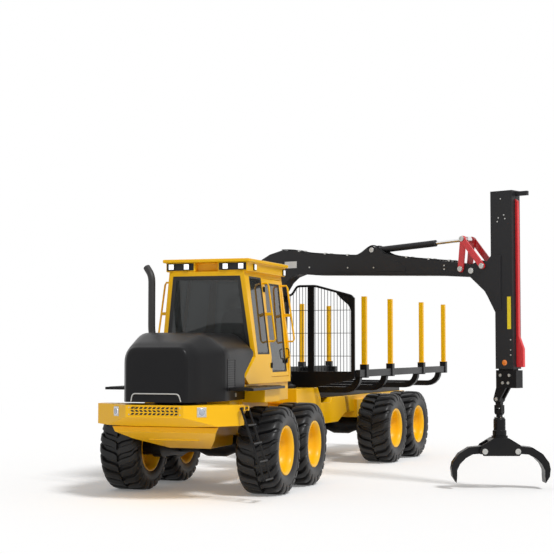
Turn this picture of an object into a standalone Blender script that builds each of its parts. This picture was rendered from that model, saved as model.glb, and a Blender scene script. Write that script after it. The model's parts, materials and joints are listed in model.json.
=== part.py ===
"""Eight-wheeled forestry forwarder: two bogie frames hinged in the middle, a cab and an
engine hood in front, a log bunk behind, and a slewing loader crane with a grapple.

Units are metres, +Z is up, the machine drives towards -Y and its left side is +X.
Front pieces are drawn in a frame whose origin is the steering hinge; crane pieces are
drawn in a frame whose origin is the slewing axis, with its first axis along the boom.
"""
import math

import bpy
import bmesh
from mathutils import Matrix, Vector

for old in list(bpy.data.objects):
    bpy.data.objects.remove(old, do_unlink=True)

# ---------------------------------------------------------------- driving dimensions
GAP = 0.0003                 # between pieces that touch
RUN_GAP = 0.006              # between pieces that move past each other
PIN_SIDE = 0.0008            # between the side faces of an eye and its lugs

TYRE_RADIUS = 0.67
TYRE_WIDTH = 0.66
RIM_RADIUS = 0.35
TRACK = 2.24                 # between the middles of a pair of tyres
BOGIE_SPACING = 1.48         # between the two hubs of one bogie
FRONT_AXLE_Y = -2.43
REAR_AXLE_Y = 3.88
STEER_REST = 4.5             # degrees, the front frame turned to the machine's left
HUB_FACE = 0.25              # hub's outer face, out from the tyre's middle
HUB_SOCKET = 0.10            # hub's inner face, in from the tyre's middle

BEAM_HALF_X = 0.40           # both chassis beams
BEAM_FLOOR = 0.80
BEAM_TOP = 1.19
DECK_HALF_X = 0.76           # deck under the cab
TOWER_HALF_X = 0.50          # rear frame's crane tower
TOWER_TOP = 1.50
REAR_END_Y = 6.86

CAB_HALF_LOW = 0.80
CAB_HALF_TOP = 0.63
CAB_FLOOR = 1.67
CAB_WAIST = 2.09
CAB_TOP = 3.44
CAB_BACK = -1.08
CAB_FRONT_LOW = -2.86
CAB_FRONT_TOP = -2.95
CAB_NOSE = -3.34
WALL = 0.045
ROOF_TOP = 3.64
ROOF_HALF_X = 0.735
ROOF_FRONT = -2.99
ROOF_BACK = -0.99
GLASS = 0.008

HOOD_HALF_X = 0.80
HOOD_FRONT = -4.93
HOOD_FLOOR = 1.45
HOOD_SKIN = 0.03
COWL_FRONT = -3.745          # the tilting hood ends just ahead of the fixed cowl
BUMPER_TOP = 1.41
BUMPER_BACK = -4.28

STAKE_X = 1.345
STAKE_Y = (1.45, 2.98, 5.06, 6.72)
STAKE_SIDE = 0.085
STAKE_TOP = 3.18
RAIL_TOP = 1.83
BOLSTER_FLOOR = 1.40
BOLSTER_TOP = 1.52
GATE_Y = 1.05
GATE_HALF_X = 1.30

CRANE_Y = 0.50               # slewing axis, behind the steering hinge
CRANE_REST = -17.9           # degrees, the boom's heading from +X
GRAPPLE_REST = 40.8          # degrees, the grapple's spread from the boom's heading
BOOM_HALF = 0.115            # half of the boom's thickness
LINK_PLATE = 0.03
STICK_HALF = 0.125

# Crane pins as (along the boom, height) in the crane's frame
FOOT_PIN = (-0.02, 3.28)
TAIL_PIN = (-0.47, 3.50)
LIFT_PIN = (-0.42, 2.10)
EAR_PIN = (2.24, 3.904)
LINK_PIN = (4.047, 3.512)
TIP_PIN = (4.257, 3.474)
TOP_PIN = (4.097, 3.996)
STICK_PIN = (4.472, 3.542)

STICK_BACK = 4.608           # the stick's side that faces the boom
STICK_FACE = 5.002
STICK_TOP = 4.73
STICK_FOOT = 1.90
CROSSHEAD_FOOT = 1.60
TUBE_TOP = 3.55              # the extension's upper end, inside the stick
HANG = 4.67                  # along the boom to the rotator's axis
SWING_PIN_Z = 1.42
CROSS_PIN_Z = 1.22
ROTATOR_TOP = 1.13
ROTATOR_FOOT = 0.84
GRAPPLE_TOP = 0.80
CLAW_PIN_Z = 0.60
CLAW_PIN_X = 0.26            # out from the rotator's axis
CLAW_REACH = 0.78            # widest half-width of the open claws
CLAW_TIP_Z = 0.10

# ---------------------------------------------------------------- finishes
FINISHES = {
    # name: (red, green, blue, roughness, metallic)
    "yellow": (0.95, 0.50, 0.01, 0.35, 0.0),
    "black": (0.02, 0.02, 0.022, 0.45, 0.0),
    "charcoal": (0.05, 0.05, 0.055, 0.45, 0.2),
    "red": (0.75, 0.03, 0.03, 0.4, 0.0),
    "rubber": (0.02, 0.02, 0.02, 0.85, 0.0),
    "glass": (0.05, 0.06, 0.06, 0.05, 0.0),
    "chrome": (0.8, 0.8, 0.8, 0.1, 1.0),
    "iron": (0.12, 0.12, 0.12, 0.6, 0.6),
    "seat_cloth": (0.04, 0.04, 0.05, 0.9, 0.0),
}


def finish(name):
    """The material of one finish, made the first time it is asked for."""
    found = bpy.data.materials.get(name)
    if found:
        return found
    made = bpy.data.materials.new(name)
    made.use_nodes = True
    shader = made.node_tree.nodes["Principled BSDF"]
    red, green, blue, roughness, metallic = FINISHES[name]
    shader.inputs["Base Color"].default_value = (red, green, blue, 1.0)
    shader.inputs["Roughness"].default_value = roughness
    shader.inputs["Metallic"].default_value = metallic
    return made


# ---------------------------------------------------------------- shapes
def solid(points, faces):
    """A closed bmesh from points and faces, with its faces turned outwards."""
    shape = bmesh.new()
    corners = [shape.verts.new(point) for point in points]
    for face in faces:
        shape.faces.new([corners[i] for i in face])
    bmesh.ops.recalc_face_normals(shape, faces=shape.faces[:])
    return shape


def loft(sections):
    """A solid through closed loops that all have the same number of points."""
    count = len(sections[0])
    points = [point for section in sections for point in section]
    faces = [list(range(count)), list(range(len(points) - count, len(points)))]
    for step in range(len(sections) - 1):
        near, far = step * count, (step + 1) * count
        for i in range(count):
            j = (i + 1) % count
            faces.append((near + i, near + j, far + j, far + i))
    return solid(points, faces)


PLACE = {
    # axis: the point from two outline values and the place along the axis
    "x": lambda a, b, along: (along, a, b),
    "y": lambda a, b, along: (a, along, b),
    "z": lambda a, b, along: (a, b, along),
}


def prism(outline, low, high, axis):
    """An outline in the two other axes, drawn out along one axis."""
    put = PLACE[axis]
    return loft([[put(a, b, at) for a, b in outline] for at in (low, high)])


def box(xs, ys, zs):
    """A block between two values on each axis."""
    x0, x1 = xs
    y0, y1 = ys
    return prism([(x0, y0), (x1, y0), (x1, y1), (x0, y1)], zs[0], zs[1], "z")


def ring(centre, radius, count, first=0.0, sweep=360.0):
    """Points on a circle, or on an arc when sweep is under a full turn."""
    full = abs(sweep) >= 360.0
    steps = count if full else count - 1
    places = []
    for i in range(count):
        angle = math.radians(first + sweep * i / steps)
        places.append((centre[0] + radius * math.cos(angle), centre[1] + radius * math.sin(angle)))
    return places


def turned(profile, centre, axis, count):
    """A profile of (radius, place along the axis) turned about an axis through centre."""
    put = PLACE[axis]
    return loft([[put(a, b, along) for a, b in ring(centre, radius, count)]
                 for radius, along in profile])


def swept(path, radius, count):
    """A round bar along a path of points, kept upright by carrying one side vector."""
    path = [Vector(point) for point in path]
    ways = []
    for i in range(len(path)):
        before = path[max(i - 1, 0)]
        after = path[min(i + 1, len(path) - 1)]
        ways.append((after - before).normalized())
    side = ways[0].orthogonal().normalized()
    loops = []
    for point, way in zip(path, ways):
        side = (side - way * side.dot(way)).normalized()
        other = way.cross(side)
        loops.append([point + side * a + other * b for a, b in ring((0, 0), radius, count)])
    return loft(loops)


def slab(corners, outer, inner):
    """A plate on a quadrilateral, from outer to inner metres behind its face."""
    corners = [Vector(corner) for corner in corners]
    normal = (corners[1] - corners[0]).cross(corners[3] - corners[0]).normalized()
    return loft([[corner - normal * depth for corner in corners] for depth in (outer, inner)])


def shrunk(corners, margin):
    """A quadrilateral with each side moved in by a margin."""
    corners = [Vector(corner) for corner in corners]
    inner = []
    for i, corner in enumerate(corners):
        ahead = (corners[(i + 1) % 4] - corner).normalized()
        behind = (corners[i - 1] - corner).normalized()
        reach = margin / max(ahead.cross(behind).length, 0.1)
        inner.append(corner + (ahead + behind) * reach)
    return inner


# ---------------------------------------------------------------- joints and nodes
class Pivot:
    """An empty on a joint's axis. place is in the frame that its pieces are drawn in."""

    def __init__(self, name, place, parent=None, heading=None):
        self.place = Vector(place)
        self.empty = bpy.data.objects.new(name, None)
        bpy.context.collection.objects.link(self.empty)
        self.empty.location = self.place
        if parent:
            self.empty.parent = parent.empty
            self.empty.location = self.place - parent.place
        if heading is not None:
            self.empty.rotation_euler = (0.0, 0.0, math.radians(heading))
            self.place = Vector((0.0, 0.0, 0.0))


def put_object(name, shape, pivot):
    """A mesh object from a shape drawn in its frame, with its origin on the pivot."""
    mesh = bpy.data.meshes.new(name)
    shape.to_mesh(mesh)
    shape.free()
    mesh.transform(Matrix.Translation(-pivot.place))
    made = bpy.data.objects.new(name, mesh)
    bpy.context.collection.objects.link(made)
    made.parent = pivot.empty
    return made


def node(name, shape, pivot, colour, add=(), cut=()):
    """One named piece: a shape, with others joined to it and others cut from it."""
    made = put_object(name, shape, pivot)
    made.data.materials.append(finish(colour))
    jobs = [("UNION", extra) for extra in add] + [("DIFFERENCE", extra) for extra in cut]
    for number, (operation, extra) in enumerate(jobs):
        tool = put_object("{}.tool.{}".format(name, number), extra, pivot)
        tool.hide_render = True
        tool.display_type = "WIRE"
        boolean = made.modifiers.new("shape {}".format(number), "BOOLEAN")
        boolean.operation = operation
        boolean.solver = "EXACT"
        boolean.object = tool
    made.data.shade_smooth()
    made.data.set_sharp_from_angle(angle=math.radians(35))
    return made


machine = Pivot("machine_origin", (0, 0, 0))
front = Pivot("steering_hinge", (0, 0, 0), machine, heading=STEER_REST)
crane = Pivot("slewing_axis", (0, CRANE_Y, 0), machine, heading=CRANE_REST)

# ---------------------------------------------------------------- wheels and bogies
# Tyre and rim section as (radius, out from the tyre's middle), from the inner hub
# face round the tyre to the outer hub face; side flips it for the machine's right.
WHEEL_PROFILE = (
    (0.13, -HUB_SOCKET),
    (0.16, -0.06),
    (RIM_RADIUS - 0.05, -0.06),
    (RIM_RADIUS - 0.02, -0.27),
    (RIM_RADIUS + 0.02, -0.28),
    (0.50, -TYRE_WIDTH / 2),
    (TYRE_RADIUS - 0.06, -TYRE_WIDTH / 2 + 0.005),
    (TYRE_RADIUS, -TYRE_WIDTH / 2 + 0.08),
    (TYRE_RADIUS, TYRE_WIDTH / 2 - 0.08),
    (TYRE_RADIUS - 0.06, TYRE_WIDTH / 2 - 0.005),
    (0.50, TYRE_WIDTH / 2),
    (RIM_RADIUS + 0.02, 0.28),
    (RIM_RADIUS - 0.02, 0.27),
    (RIM_RADIUS - 0.05, 0.10),
    (0.20, 0.06),
    (0.17, HUB_FACE),
)
BOGIE_X = TRACK / 2 - 0.42           # middle of the bogie's gear case
BOGIE_HALF = 0.075
CASE_END = BOGIE_X + BOGIE_HALF


def wheel(name, pivot, side, y):
    """One wheel with its own pivot at the hub."""
    hub = Pivot(name + "_hub", (side * TRACK / 2, y, TYRE_RADIUS), pivot)
    profile = [(radius, side * (TRACK / 2 + out)) for radius, out in WHEEL_PROFILE]
    node(name, turned(profile, (y, TYRE_RADIUS), "x", 32), hub, "rubber")


def bogie(name, pivot, side, y):
    """A cranked gear case, low over the hubs and thick at its middle trunnion."""
    half = BOGIE_SPACING / 2
    low = TYRE_RADIUS - 0.15
    high = TYRE_RADIUS + 0.15
    outline = ring((y - half, TYRE_RADIUS), 0.15, 7, 90, 180)
    outline += [(y - 0.3, low), (y, low - 0.05), (y + 0.3, low)]
    outline += ring((y + half, TYRE_RADIUS), 0.15, 7, -90, 180)
    outline += [(y + 0.3, high), (y, high + 0.10), (y - 0.3, high)]
    case = prism(outline, side * (BOGIE_X - BOGIE_HALF), side * CASE_END, "x")
    spindles = [turned(((0.12, side * (CASE_END - 0.02)),
                        (0.12, side * (TRACK / 2 - HUB_SOCKET - GAP))),
                       (y + hub, TYRE_RADIUS), "x", 16) for hub in (-half, half)]
    node(name, case, pivot, "black", add=spindles)


def axle(name, pivot, y):
    """The axle's housing, from one gear case to the other, with its differential."""
    end = BOGIE_X - BOGIE_HALF - GAP
    tube = turned(((0.14, -end), (0.14, -0.30), (0.20, -0.16), (0.20, 0.16), (0.14, 0.30),
                   (0.14, end)), (y, TYRE_RADIUS + 0.02), "x", 16)
    node(name, tube, pivot, "black")


SIDES = {"left": 1, "right": -1}
AXLES = {
    # name: (pivot, y of the axle)
    "front": (front, FRONT_AXLE_Y),
    "rear": (machine, REAR_AXLE_Y),
}
for end_name, (end_pivot, end_y) in AXLES.items():
    axle(end_name + "_axle", end_pivot, end_y)
    for side_name, side in SIDES.items():
        bogie("bogie_{}_{}".format(end_name, side_name), end_pivot, side, end_y)
        for place, step in (("leading", -1), ("trailing", 1)):
            wheel("wheel_{}_{}_{}".format(end_name, side_name, place), end_pivot, side,
                  end_y + step * BOGIE_SPACING / 2)

# ---------------------------------------------------------------- front frame
KNUCKLE = 0.17
KNUCKLE_GAP = (0.80, 1.10)           # heights between the front frame's two knuckle arms


def axle_saddle(y):
    """A block whose underside clears an axle's housing and lies just on it."""
    return turned(((0.20 + GAP, -0.60), (0.20 + GAP, 0.60)), (y, TYRE_RADIUS + 0.02), "x", 16)


# Belly pan sections as (y, half width low, half width high, low z, high z)
BELLY = (
    (-4.60, 0.80, 0.84, 1.00, 1.08),
    (-4.27, 0.66, 0.70, 0.88, 1.08),
    (-3.60, 0.34, BEAM_HALF_X, 0.70, 1.19),
    (-2.66, 0.34, BEAM_HALF_X, 0.70, 1.19),
)
belly = loft([[(-low, y, z0), (low, y, z0), (high, y, z1), (-high, y, z1)]
              for y, low, high, z0, z1 in BELLY])
FRONT_BEAM_TOP = 1.20
front_beam = box((-BEAM_HALF_X, BEAM_HALF_X), (-4.26, -0.42), (0.86, FRONT_BEAM_TOP))
rear_belly = box((-0.34, 0.34), (-2.20, -0.42), (0.70, 1.19))
deck = box((-DECK_HALF_X, DECK_HALF_X), (-3.36, -1.10), (1.37, CAB_FLOOR - GAP))
deck_web = box((-BEAM_HALF_X, BEAM_HALF_X), (COWL_FRONT, -1.10), (1.15, 1.40))
cowl_seat = box((-0.70, 0.70), (COWL_FRONT, -3.35), (1.37, HOOD_FLOOR - GAP))
knuckle_arms = [prism(ring((0, 0), KNUCKLE, 13, 0, 180) + [(-0.30, -0.44), (0.30, -0.44)],
                      low, high, "z")
                for low, high in ((0.72, KNUCKLE_GAP[0]), (KNUCKLE_GAP[1], 1.18))]
node("front_frame", front_beam, front, "yellow",
     add=[belly, rear_belly, deck_web, deck, cowl_seat] + knuckle_arms,
     cut=[axle_saddle(FRONT_AXLE_Y)])

# Bumper sections as (x, front y, fold z, bottom z, bottom front y)
BUMPER = (
    (1.12, -4.50, 1.112, 1.11, -4.49),
    (0.86, -4.69, 1.105, 1.10, -4.68),
    (0.45, -4.98, 1.235, 1.09, -4.66),
    (-0.45, -4.98, 1.235, 1.09, -4.66),
    (-0.86, -4.69, 1.105, 1.10, -4.68),
    (-1.12, -4.50, 1.112, 1.11, -4.49),
)
bumper = loft([[(x, face, BUMPER_TOP), (x, face, fold), (x, under, low),
                (x, BUMPER_BACK, low), (x, BUMPER_BACK, BUMPER_TOP)]
               for x, face, fold, low, under in BUMPER])
bumper_arm = box((-0.36, 0.36), (BUMPER_BACK - 0.02, -4.26 - GAP), (1.09, 1.19))
LADDER_HINGE = (1.17, -4.39, 1.36)
LADDER_FOOT = (1.52, -4.39, 0.33)
LADDER_HALF = 0.17
LADDER_BAR = 0.02
ladder_lugs = [box((1.08, 1.20), (LADDER_HINGE[1] + at - 0.015, LADDER_HINGE[1] + at + 0.015),
                   (LADDER_HINGE[2] - 0.035, LADDER_HINGE[2] + 0.035)) for at in (-0.09, 0.09)]
lug_bore = turned(((LADDER_BAR + PIN_SIDE, LADDER_HINGE[1] - 0.2),
                   (LADDER_BAR + PIN_SIDE, LADDER_HINGE[1] + 0.2)),
                  (LADDER_HINGE[0], LADDER_HINGE[2]), "y", 16)
node("bumper", bumper, front, "yellow", add=[bumper_arm] + ladder_lugs, cut=[lug_bore])

# ---------------------------------------------------------------- hood, engine, exhaust
HOOD_HINGE = (0.0, HOOD_FRONT, HOOD_FLOOR)
hood_pivot = Pivot("hood_hinge", HOOD_HINGE, front)
# Hood and cowl sections as (y, half width, half width of the top, shoulder z, top z)
HOOD_SECTIONS = (
    (HOOD_FRONT, 0.50, 0.42, 2.12, 2.25),
    (-4.30, 0.77, 0.50, 2.17, 2.46),
    (-4.20, HOOD_HALF_X, 0.50, 2.19, 2.46),
    (COWL_FRONT - PIN_SIDE, HOOD_HALF_X, 0.50, 2.19, 2.46),
    (COWL_FRONT, HOOD_HALF_X, 0.50, 2.19, 2.46),
    (-2.975, HOOD_HALF_X, 0.50, 2.19, 2.46),
)


def hood_block(rows, skin, ends):
    """The bonnet between some of its sections. With a skin it is the inside, which runs
    out through the floor, and through the back when ends says so."""
    loops = []
    last = len(rows) - 1
    for place, (y, half, half_top, shoulder, top) in enumerate(rows):
        moved = y + (skin if place == 0 else 0.0) + (ends if place == last else 0.0)
        floor = HOOD_FLOOR - (0.05 if skin else 0.0)
        side = half - skin
        side_top = half_top - skin * 0.4
        loops.append([(-side, moved, floor), (side, moved, floor),
                      (side, moved, shoulder - skin * 0.4), (side_top, moved, top - skin),
                      (-side_top, moved, top - skin), (-side, moved, shoulder - skin * 0.4)])
    return loft(loops)


hood_rows, cowl_rows = HOOD_SECTIONS[:4], HOOD_SECTIONS[4:]
node("hood", hood_block(hood_rows, 0.0, 0.0), hood_pivot, "black",
     cut=[hood_block(hood_rows, HOOD_SKIN, 0.05)])
# The cowl's back is cut away over the cab's nose
nose_space = prism([(-3.365, 1.30), (-3.365, 1.82), (-2.90, 2.16), (-2.90, 1.30)], -1.0, 1.0, "x")
cowl_inside = prism([(-3.70, 1.46), (-3.41, 1.46), (-3.41, 1.86), (-3.02, 2.16), (-3.02, 2.40),
                     (-3.70, 2.40)], -0.46, 0.46, "x")
cowl_window = box((-0.40, 0.40), (COWL_FRONT - 0.1, -3.60), (1.60, 2.20))
node("cowl", hood_block(cowl_rows, 0.0, 0.0), front, "black",
     cut=[nose_space, cowl_inside, cowl_window])
node("engine", box((-0.34, 0.34), (-4.20, COWL_FRONT - 0.02), (FRONT_BEAM_TOP + GAP, 2.10)),
     front, "iron")

# The exhaust leaves the cowl's sloping shoulder squarely, then bends upright
STACK_X = -0.73
STACK_Y = -3.42
STACK_FOOT_X = -0.66
SHOULDER_SLOPE = (2.46 - 2.19) / (HOOD_HALF_X - 0.50)
shoulder_way = Vector((-SHOULDER_SLOPE, 0.0, 1.0)).normalized()
stack_foot = Vector((STACK_FOOT_X, STACK_Y, 2.19 + (HOOD_HALF_X + STACK_FOOT_X) * SHOULDER_SLOPE))
stack_path = [stack_foot + shoulder_way * GAP, stack_foot + shoulder_way * 0.05,
              (-0.715, STACK_Y, 2.41), (STACK_X, STACK_Y, 2.52), (STACK_X, STACK_Y, 3.30),
              (STACK_X - 0.015, STACK_Y + 0.01, 3.40), (STACK_X - 0.06, STACK_Y + 0.03, 3.48),
              (STACK_X - 0.12, STACK_Y + 0.06, 3.52)]
node("exhaust", swept(stack_path, 0.058, 12), front, "black")


# ---------------------------------------------------------------- cab
def cab_half(z, inset=0.0):
    """Half the cab's width at a height: upright to the waist, then leaning in."""
    rise = min(max((z - CAB_WAIST) / (CAB_TOP - CAB_WAIST), 0.0), 1.0)
    return CAB_HALF_LOW + (CAB_HALF_TOP - CAB_HALF_LOW) * rise - inset


def cab_front(z):
    """The y of the windscreen's plane at a height above the waist."""
    rise = (z - CAB_WAIST) / (CAB_TOP - CAB_WAIST)
    return CAB_FRONT_LOW + (CAB_FRONT_TOP - CAB_FRONT_LOW) * rise


def cab_block(inset):
    """The cab's outside, or its inside when inset by the wall."""
    rows = (
        # (y front, y back, z)
        (CAB_NOSE + 0.17 + inset, CAB_BACK - inset, CAB_FLOOR + inset),
        (CAB_NOSE + inset, CAB_BACK - inset, CAB_FLOOR + 0.11 + inset),
        (CAB_FRONT_LOW + inset, CAB_BACK - inset, CAB_WAIST),
        (CAB_FRONT_TOP + inset, CAB_BACK - inset, CAB_TOP - inset),
    )
    loops = []
    for y0, y1, z in rows:
        half = cab_half(z, inset)
        loops.append([(-half, y0, z), (half, y0, z), (half, y1, z), (-half, y1, z)])
    return loft(loops)


def side_quad(side, y0, y1, z0, z1):
    """Four corners on a side wall's outer face, seen from outside."""
    low, high = side * cab_half(z0), side * cab_half(z1)
    corners = [(low, y0, z0), (low, y1, z0), (high, y1, z1), (high, y0, z1)]
    return corners if side > 0 else corners[::-1]


SCREEN_LOW, SCREEN_HIGH = CAB_WAIST + 0.06, CAB_TOP - 0.07
WINDSCREEN = [(-cab_half(SCREEN_LOW) + 0.07, cab_front(SCREEN_LOW), SCREEN_LOW),
              (cab_half(SCREEN_LOW) - 0.07, cab_front(SCREEN_LOW), SCREEN_LOW),
              (cab_half(SCREEN_HIGH) - 0.07, cab_front(SCREEN_HIGH), SCREEN_HIGH),
              (-cab_half(SCREEN_HIGH) + 0.07, cab_front(SCREEN_HIGH), SCREEN_HIGH)]
REAR_WINDOW = [(0.60, CAB_BACK, CAB_WAIST), (-0.60, CAB_BACK, CAB_WAIST),
               (-0.52, CAB_BACK, SCREEN_HIGH), (0.52, CAB_BACK, SCREEN_HIGH)]
FRONT_SIDE = (-2.74, -2.16, CAB_WAIST + 0.04, SCREEN_HIGH)
DOOR_SIDE = (-2.08, -1.16, CAB_FLOOR + 0.09, SCREEN_HIGH)
DOOR_GAP = 0.007
DOOR_FRAME = 0.07
DOOR_PANE_DEPTH = 0.018
WINDOWS = {
    # name: corners of the opening on the outer face
    "windscreen": WINDSCREEN,
    "rear_glass": REAR_WINDOW,
    "left_front_glass": side_quad(1, *FRONT_SIDE),
    "right_front_glass": side_quad(-1, *FRONT_SIDE),
    "right_rear_glass": side_quad(-1, *DOOR_SIDE),
}
door_hole = side_quad(1, *DOOR_SIDE)
window_cuts = [slab(corners, -0.10, 0.10) for corners in WINDOWS.values()]
# The door shuts against a rebate in its opening
DOOR_THICK = WALL - 0.01
window_cuts.append(slab(door_hole, -0.10, DOOR_THICK + PIN_SIDE))
window_cuts.append(slab(shrunk(door_hole, 0.025), -0.10, 0.10))


def grab_rail(side, y, z0, z1):
    """A U-shaped rail that stands out from a side wall."""
    out = 0.11
    low, high = side * cab_half(z0), side * cab_half(z1)
    bend = side * out
    return swept([(low - side * 0.02, y, z0), (low + bend * 0.8, y, z0), (low + bend, y, z0 + 0.04),
                  (high + bend, y, z1 - 0.04), (high + bend * 0.8, y, z1),
                  (high - side * 0.02, y, z1)], 0.016, 8)


rails = [grab_rail(side, y, z0, 3.28) for side, y, z0 in
         ((1, -2.12, 2.34), (1, -1.12, 2.34), (-1, -2.12, 2.34), (-1, -2.82, 2.34))]
cab_mesh = cab_block(0.0)
node("cab", cab_mesh, front, "yellow", add=rails, cut=[cab_block(WALL)] + window_cuts)
for window_name, corners in WINDOWS.items():
    node(window_name, slab(shrunk(corners, GAP), 0.012, 0.012 + GLASS), front, "glass")

door_corners = shrunk(door_hole, DOOR_GAP)
door_pivot = Pivot("door_hinge", (cab_half(CAB_WAIST) + 0.012, DOOR_SIDE[1] + 0.012, CAB_WAIST),
                   front)
door_glass_corners = shrunk(door_corners, DOOR_FRAME)
node("door", slab(door_corners, 0.0, DOOR_THICK), door_pivot, "yellow",
     cut=[slab(door_glass_corners, -0.02, 0.10)])
node("door_glass", slab(shrunk(door_glass_corners, GAP), DOOR_PANE_DEPTH,
                        DOOR_PANE_DEPTH + GLASS), door_pivot, "glass")

# The roof is a thin lid over a band that holds the lamps, notched in front
ROOF_LID = 0.055
roof_lid = box((-ROOF_HALF_X, ROOF_HALF_X), (ROOF_FRONT, ROOF_BACK),
               (ROOF_TOP - ROOF_LID, ROOF_TOP))
roof_band = box((-0.69, 0.69), (-2.95, -1.03), (CAB_TOP + GAP, ROOF_TOP - ROOF_LID + 0.01))
roof_notch = box((-0.19, 0.19), (-3.10, -2.83), (3.40, ROOF_TOP - ROOF_LID))
node("roof", roof_lid, front, "yellow", add=[roof_band], cut=[roof_notch])

SEAT_Y = -2.0
seat_base = box((-0.17, 0.17), (SEAT_Y - 0.17, SEAT_Y + 0.17),
                (CAB_FLOOR + WALL + GAP, CAB_FLOOR + 0.42))
seat_cushion = box((-0.26, 0.26), (SEAT_Y - 0.28, SEAT_Y + 0.26),
                   (CAB_FLOOR + 0.40, CAB_FLOOR + 0.54))
seat_back = prism([(SEAT_Y + 0.20, CAB_FLOOR + 0.50), (SEAT_Y + 0.34, CAB_FLOOR + 0.50),
                   (SEAT_Y + 0.46, CAB_FLOOR + 1.22), (SEAT_Y + 0.36, CAB_FLOOR + 1.24)],
                  -0.24, 0.24, "x")
node("seat", seat_cushion, front, "seat_cloth", add=[seat_base, seat_back])

# ---------------------------------------------------------------- platforms and ladder
# Each platform is a plate over a tank that is bolted to the deck's side
for side_name, side in SIDES.items():
    tank = box(sorted((side * (DECK_HALF_X + GAP), side * 1.12)), (-3.35, -2.62), (1.40, 1.61))
    plate = box(sorted((side * (HOOD_HALF_X + 0.01), side * 1.20)), (-4.10, -2.60), (1.60, 1.64))
    node("platform_" + side_name, tank, front, "charcoal", add=[plate])

ladder_pivot = Pivot("ladder_hinge", LADDER_HINGE, front)
ladder_hinge_bar = swept([(LADDER_HINGE[0], LADDER_HINGE[1] - LADDER_HALF, LADDER_HINGE[2]),
                          (LADDER_HINGE[0], LADDER_HINGE[1] + LADDER_HALF, LADDER_HINGE[2])],
                         LADDER_BAR, 8)
ladder_parts = []
for end in (-1, 1):
    y = LADDER_HINGE[1] + end * (LADDER_HALF - 0.02)
    ladder_parts.append(swept([(LADDER_HINGE[0], y, LADDER_HINGE[2]),
                               (LADDER_FOOT[0], y, LADDER_FOOT[2])], 0.018, 8))
RUNGS = 4
for rung in range(RUNGS):
    share = (rung + 1.0) / RUNGS - 0.02
    x = LADDER_HINGE[0] + (LADDER_FOOT[0] - LADDER_HINGE[0]) * share
    z = LADDER_HINGE[2] + (LADDER_FOOT[2] - LADDER_HINGE[2]) * share
    ladder_parts.append(box((x - 0.035, x + 0.035),
                            (LADDER_HINGE[1] - LADDER_HALF, LADDER_HINGE[1] + LADDER_HALF),
                            (z - 0.012, z + 0.012)))
node("ladder", ladder_hinge_bar, ladder_pivot, "black", add=ladder_parts)

# ---------------------------------------------------------------- rear frame
# Side outline of the rear beam as (y, z)
REAR_BEAM = ((1.00, BEAM_FLOOR), (2.60, BEAM_FLOOR), (3.00, 0.95), (REAR_END_Y, 0.98),
             (REAR_END_Y, 1.28), (2.30, 1.28), (2.20, BEAM_TOP), (1.00, BEAM_TOP))
rear_beam = prism(REAR_BEAM, -BEAM_HALF_X, BEAM_HALF_X, "x")
tower = prism([(0.62, 0.70), (1.41, BEAM_FLOOR), (1.41, 1.30), (1.25, TOWER_TOP),
               (0.20, TOWER_TOP), (0.20, 1.25), (0.62, 1.19)],
              -TOWER_HALF_X, TOWER_HALF_X, "x")
tongue = prism(ring((0, 0), KNUCKLE - 0.01, 13, 180, 180) + [(0.22, 0.70), (-0.22, 0.70)],
               KNUCKLE_GAP[0] + PIN_SIDE, KNUCKLE_GAP[1] - PIN_SIDE, "z")
axle_brackets = box((-0.46, 0.46), (REAR_AXLE_Y - 0.36, REAR_AXLE_Y + 0.36), (0.84, 1.20))
node("rear_frame", rear_beam, machine, "yellow", add=[tower, tongue, axle_brackets],
     cut=[axle_saddle(REAR_AXLE_Y)])

# ---------------------------------------------------------------- gate and bunk
# Gate outline on the machine's left as (x, z), mirrored for the right
GATE_EDGE = ((0.02, 3.20), (0.07, 3.22), (0.17, 3.39), (0.53, 3.39), (1.24, 3.20),
             (GATE_HALF_X, 3.15), (GATE_HALF_X, 1.66), (0.50, TOWER_TOP + GAP))
GATE_THICK = 0.03
gate_outline = list(GATE_EDGE) + [(-x, z) for x, z in reversed(GATE_EDGE)]
gate = prism(gate_outline, GATE_Y - GATE_THICK, GATE_Y + GATE_THICK, "y")
GATE_COLUMNS = ((0.03, 0.38), (0.51, 0.85), (0.89, 1.23))
GATE_ROWS = ((1.80, 2.16), (2.18, 2.60), (2.62, 3.00), (3.02, 3.14))
gate_cuts = []
for side in SIDES.values():
    for x0, x1 in GATE_COLUMNS:
        for z0, z1 in GATE_ROWS:
            gate_cuts.append(box(sorted((side * x0, side * x1)),
                                 (GATE_Y - 0.1, GATE_Y + 0.1), (z0, z1)))
node("gate", gate, machine, "black", cut=gate_cuts)

RAIL_HALF = 0.045
RAIL_FLOOR = 1.70
BUNK_START = GATE_Y + GATE_THICK + GAP
spine = box((-0.30, 0.30), (1.42, 6.80), (1.28 + GAP, BOLSTER_FLOOR + 0.02))
bunk_parts = []
ARM_X = STAKE_X - 0.06
ARM_BEND = 0.30
for y in STAKE_Y:
    outer = ring((ARM_X - ARM_BEND, BOLSTER_FLOOR + ARM_BEND), ARM_BEND, 6, -90, 90)
    inner = ring((ARM_X - ARM_BEND, BOLSTER_FLOOR + ARM_BEND), ARM_BEND - 0.11, 6, -90, 90)
    half = outer + [(ARM_X, RAIL_TOP - 0.02), (ARM_X - 0.11, RAIL_TOP - 0.02)] + inner[::-1]
    outline = half[:]
    outline += [(-x, z) for x, z in reversed(half)]
    bunk_parts.append(prism(outline, y - 0.06, y + 0.06, "y"))
for side in SIDES.values():
    bunk_parts.append(box(sorted((side * (STAKE_X - RAIL_HALF), side * (STAKE_X + RAIL_HALF))),
                          (BUNK_START, 6.79), (RAIL_FLOOR, RAIL_TOP)))
    for y in STAKE_Y:
        x = side * STAKE_X
        half = STAKE_SIDE / 2
        bunk_parts.append(box((x - 0.066, x + 0.066), (y - 0.066, y + 0.066), (1.68, 1.93)))
        bunk_parts.append(box((x - half, x + half), (y - half, y + half), (1.90, STAKE_TOP)))
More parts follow.
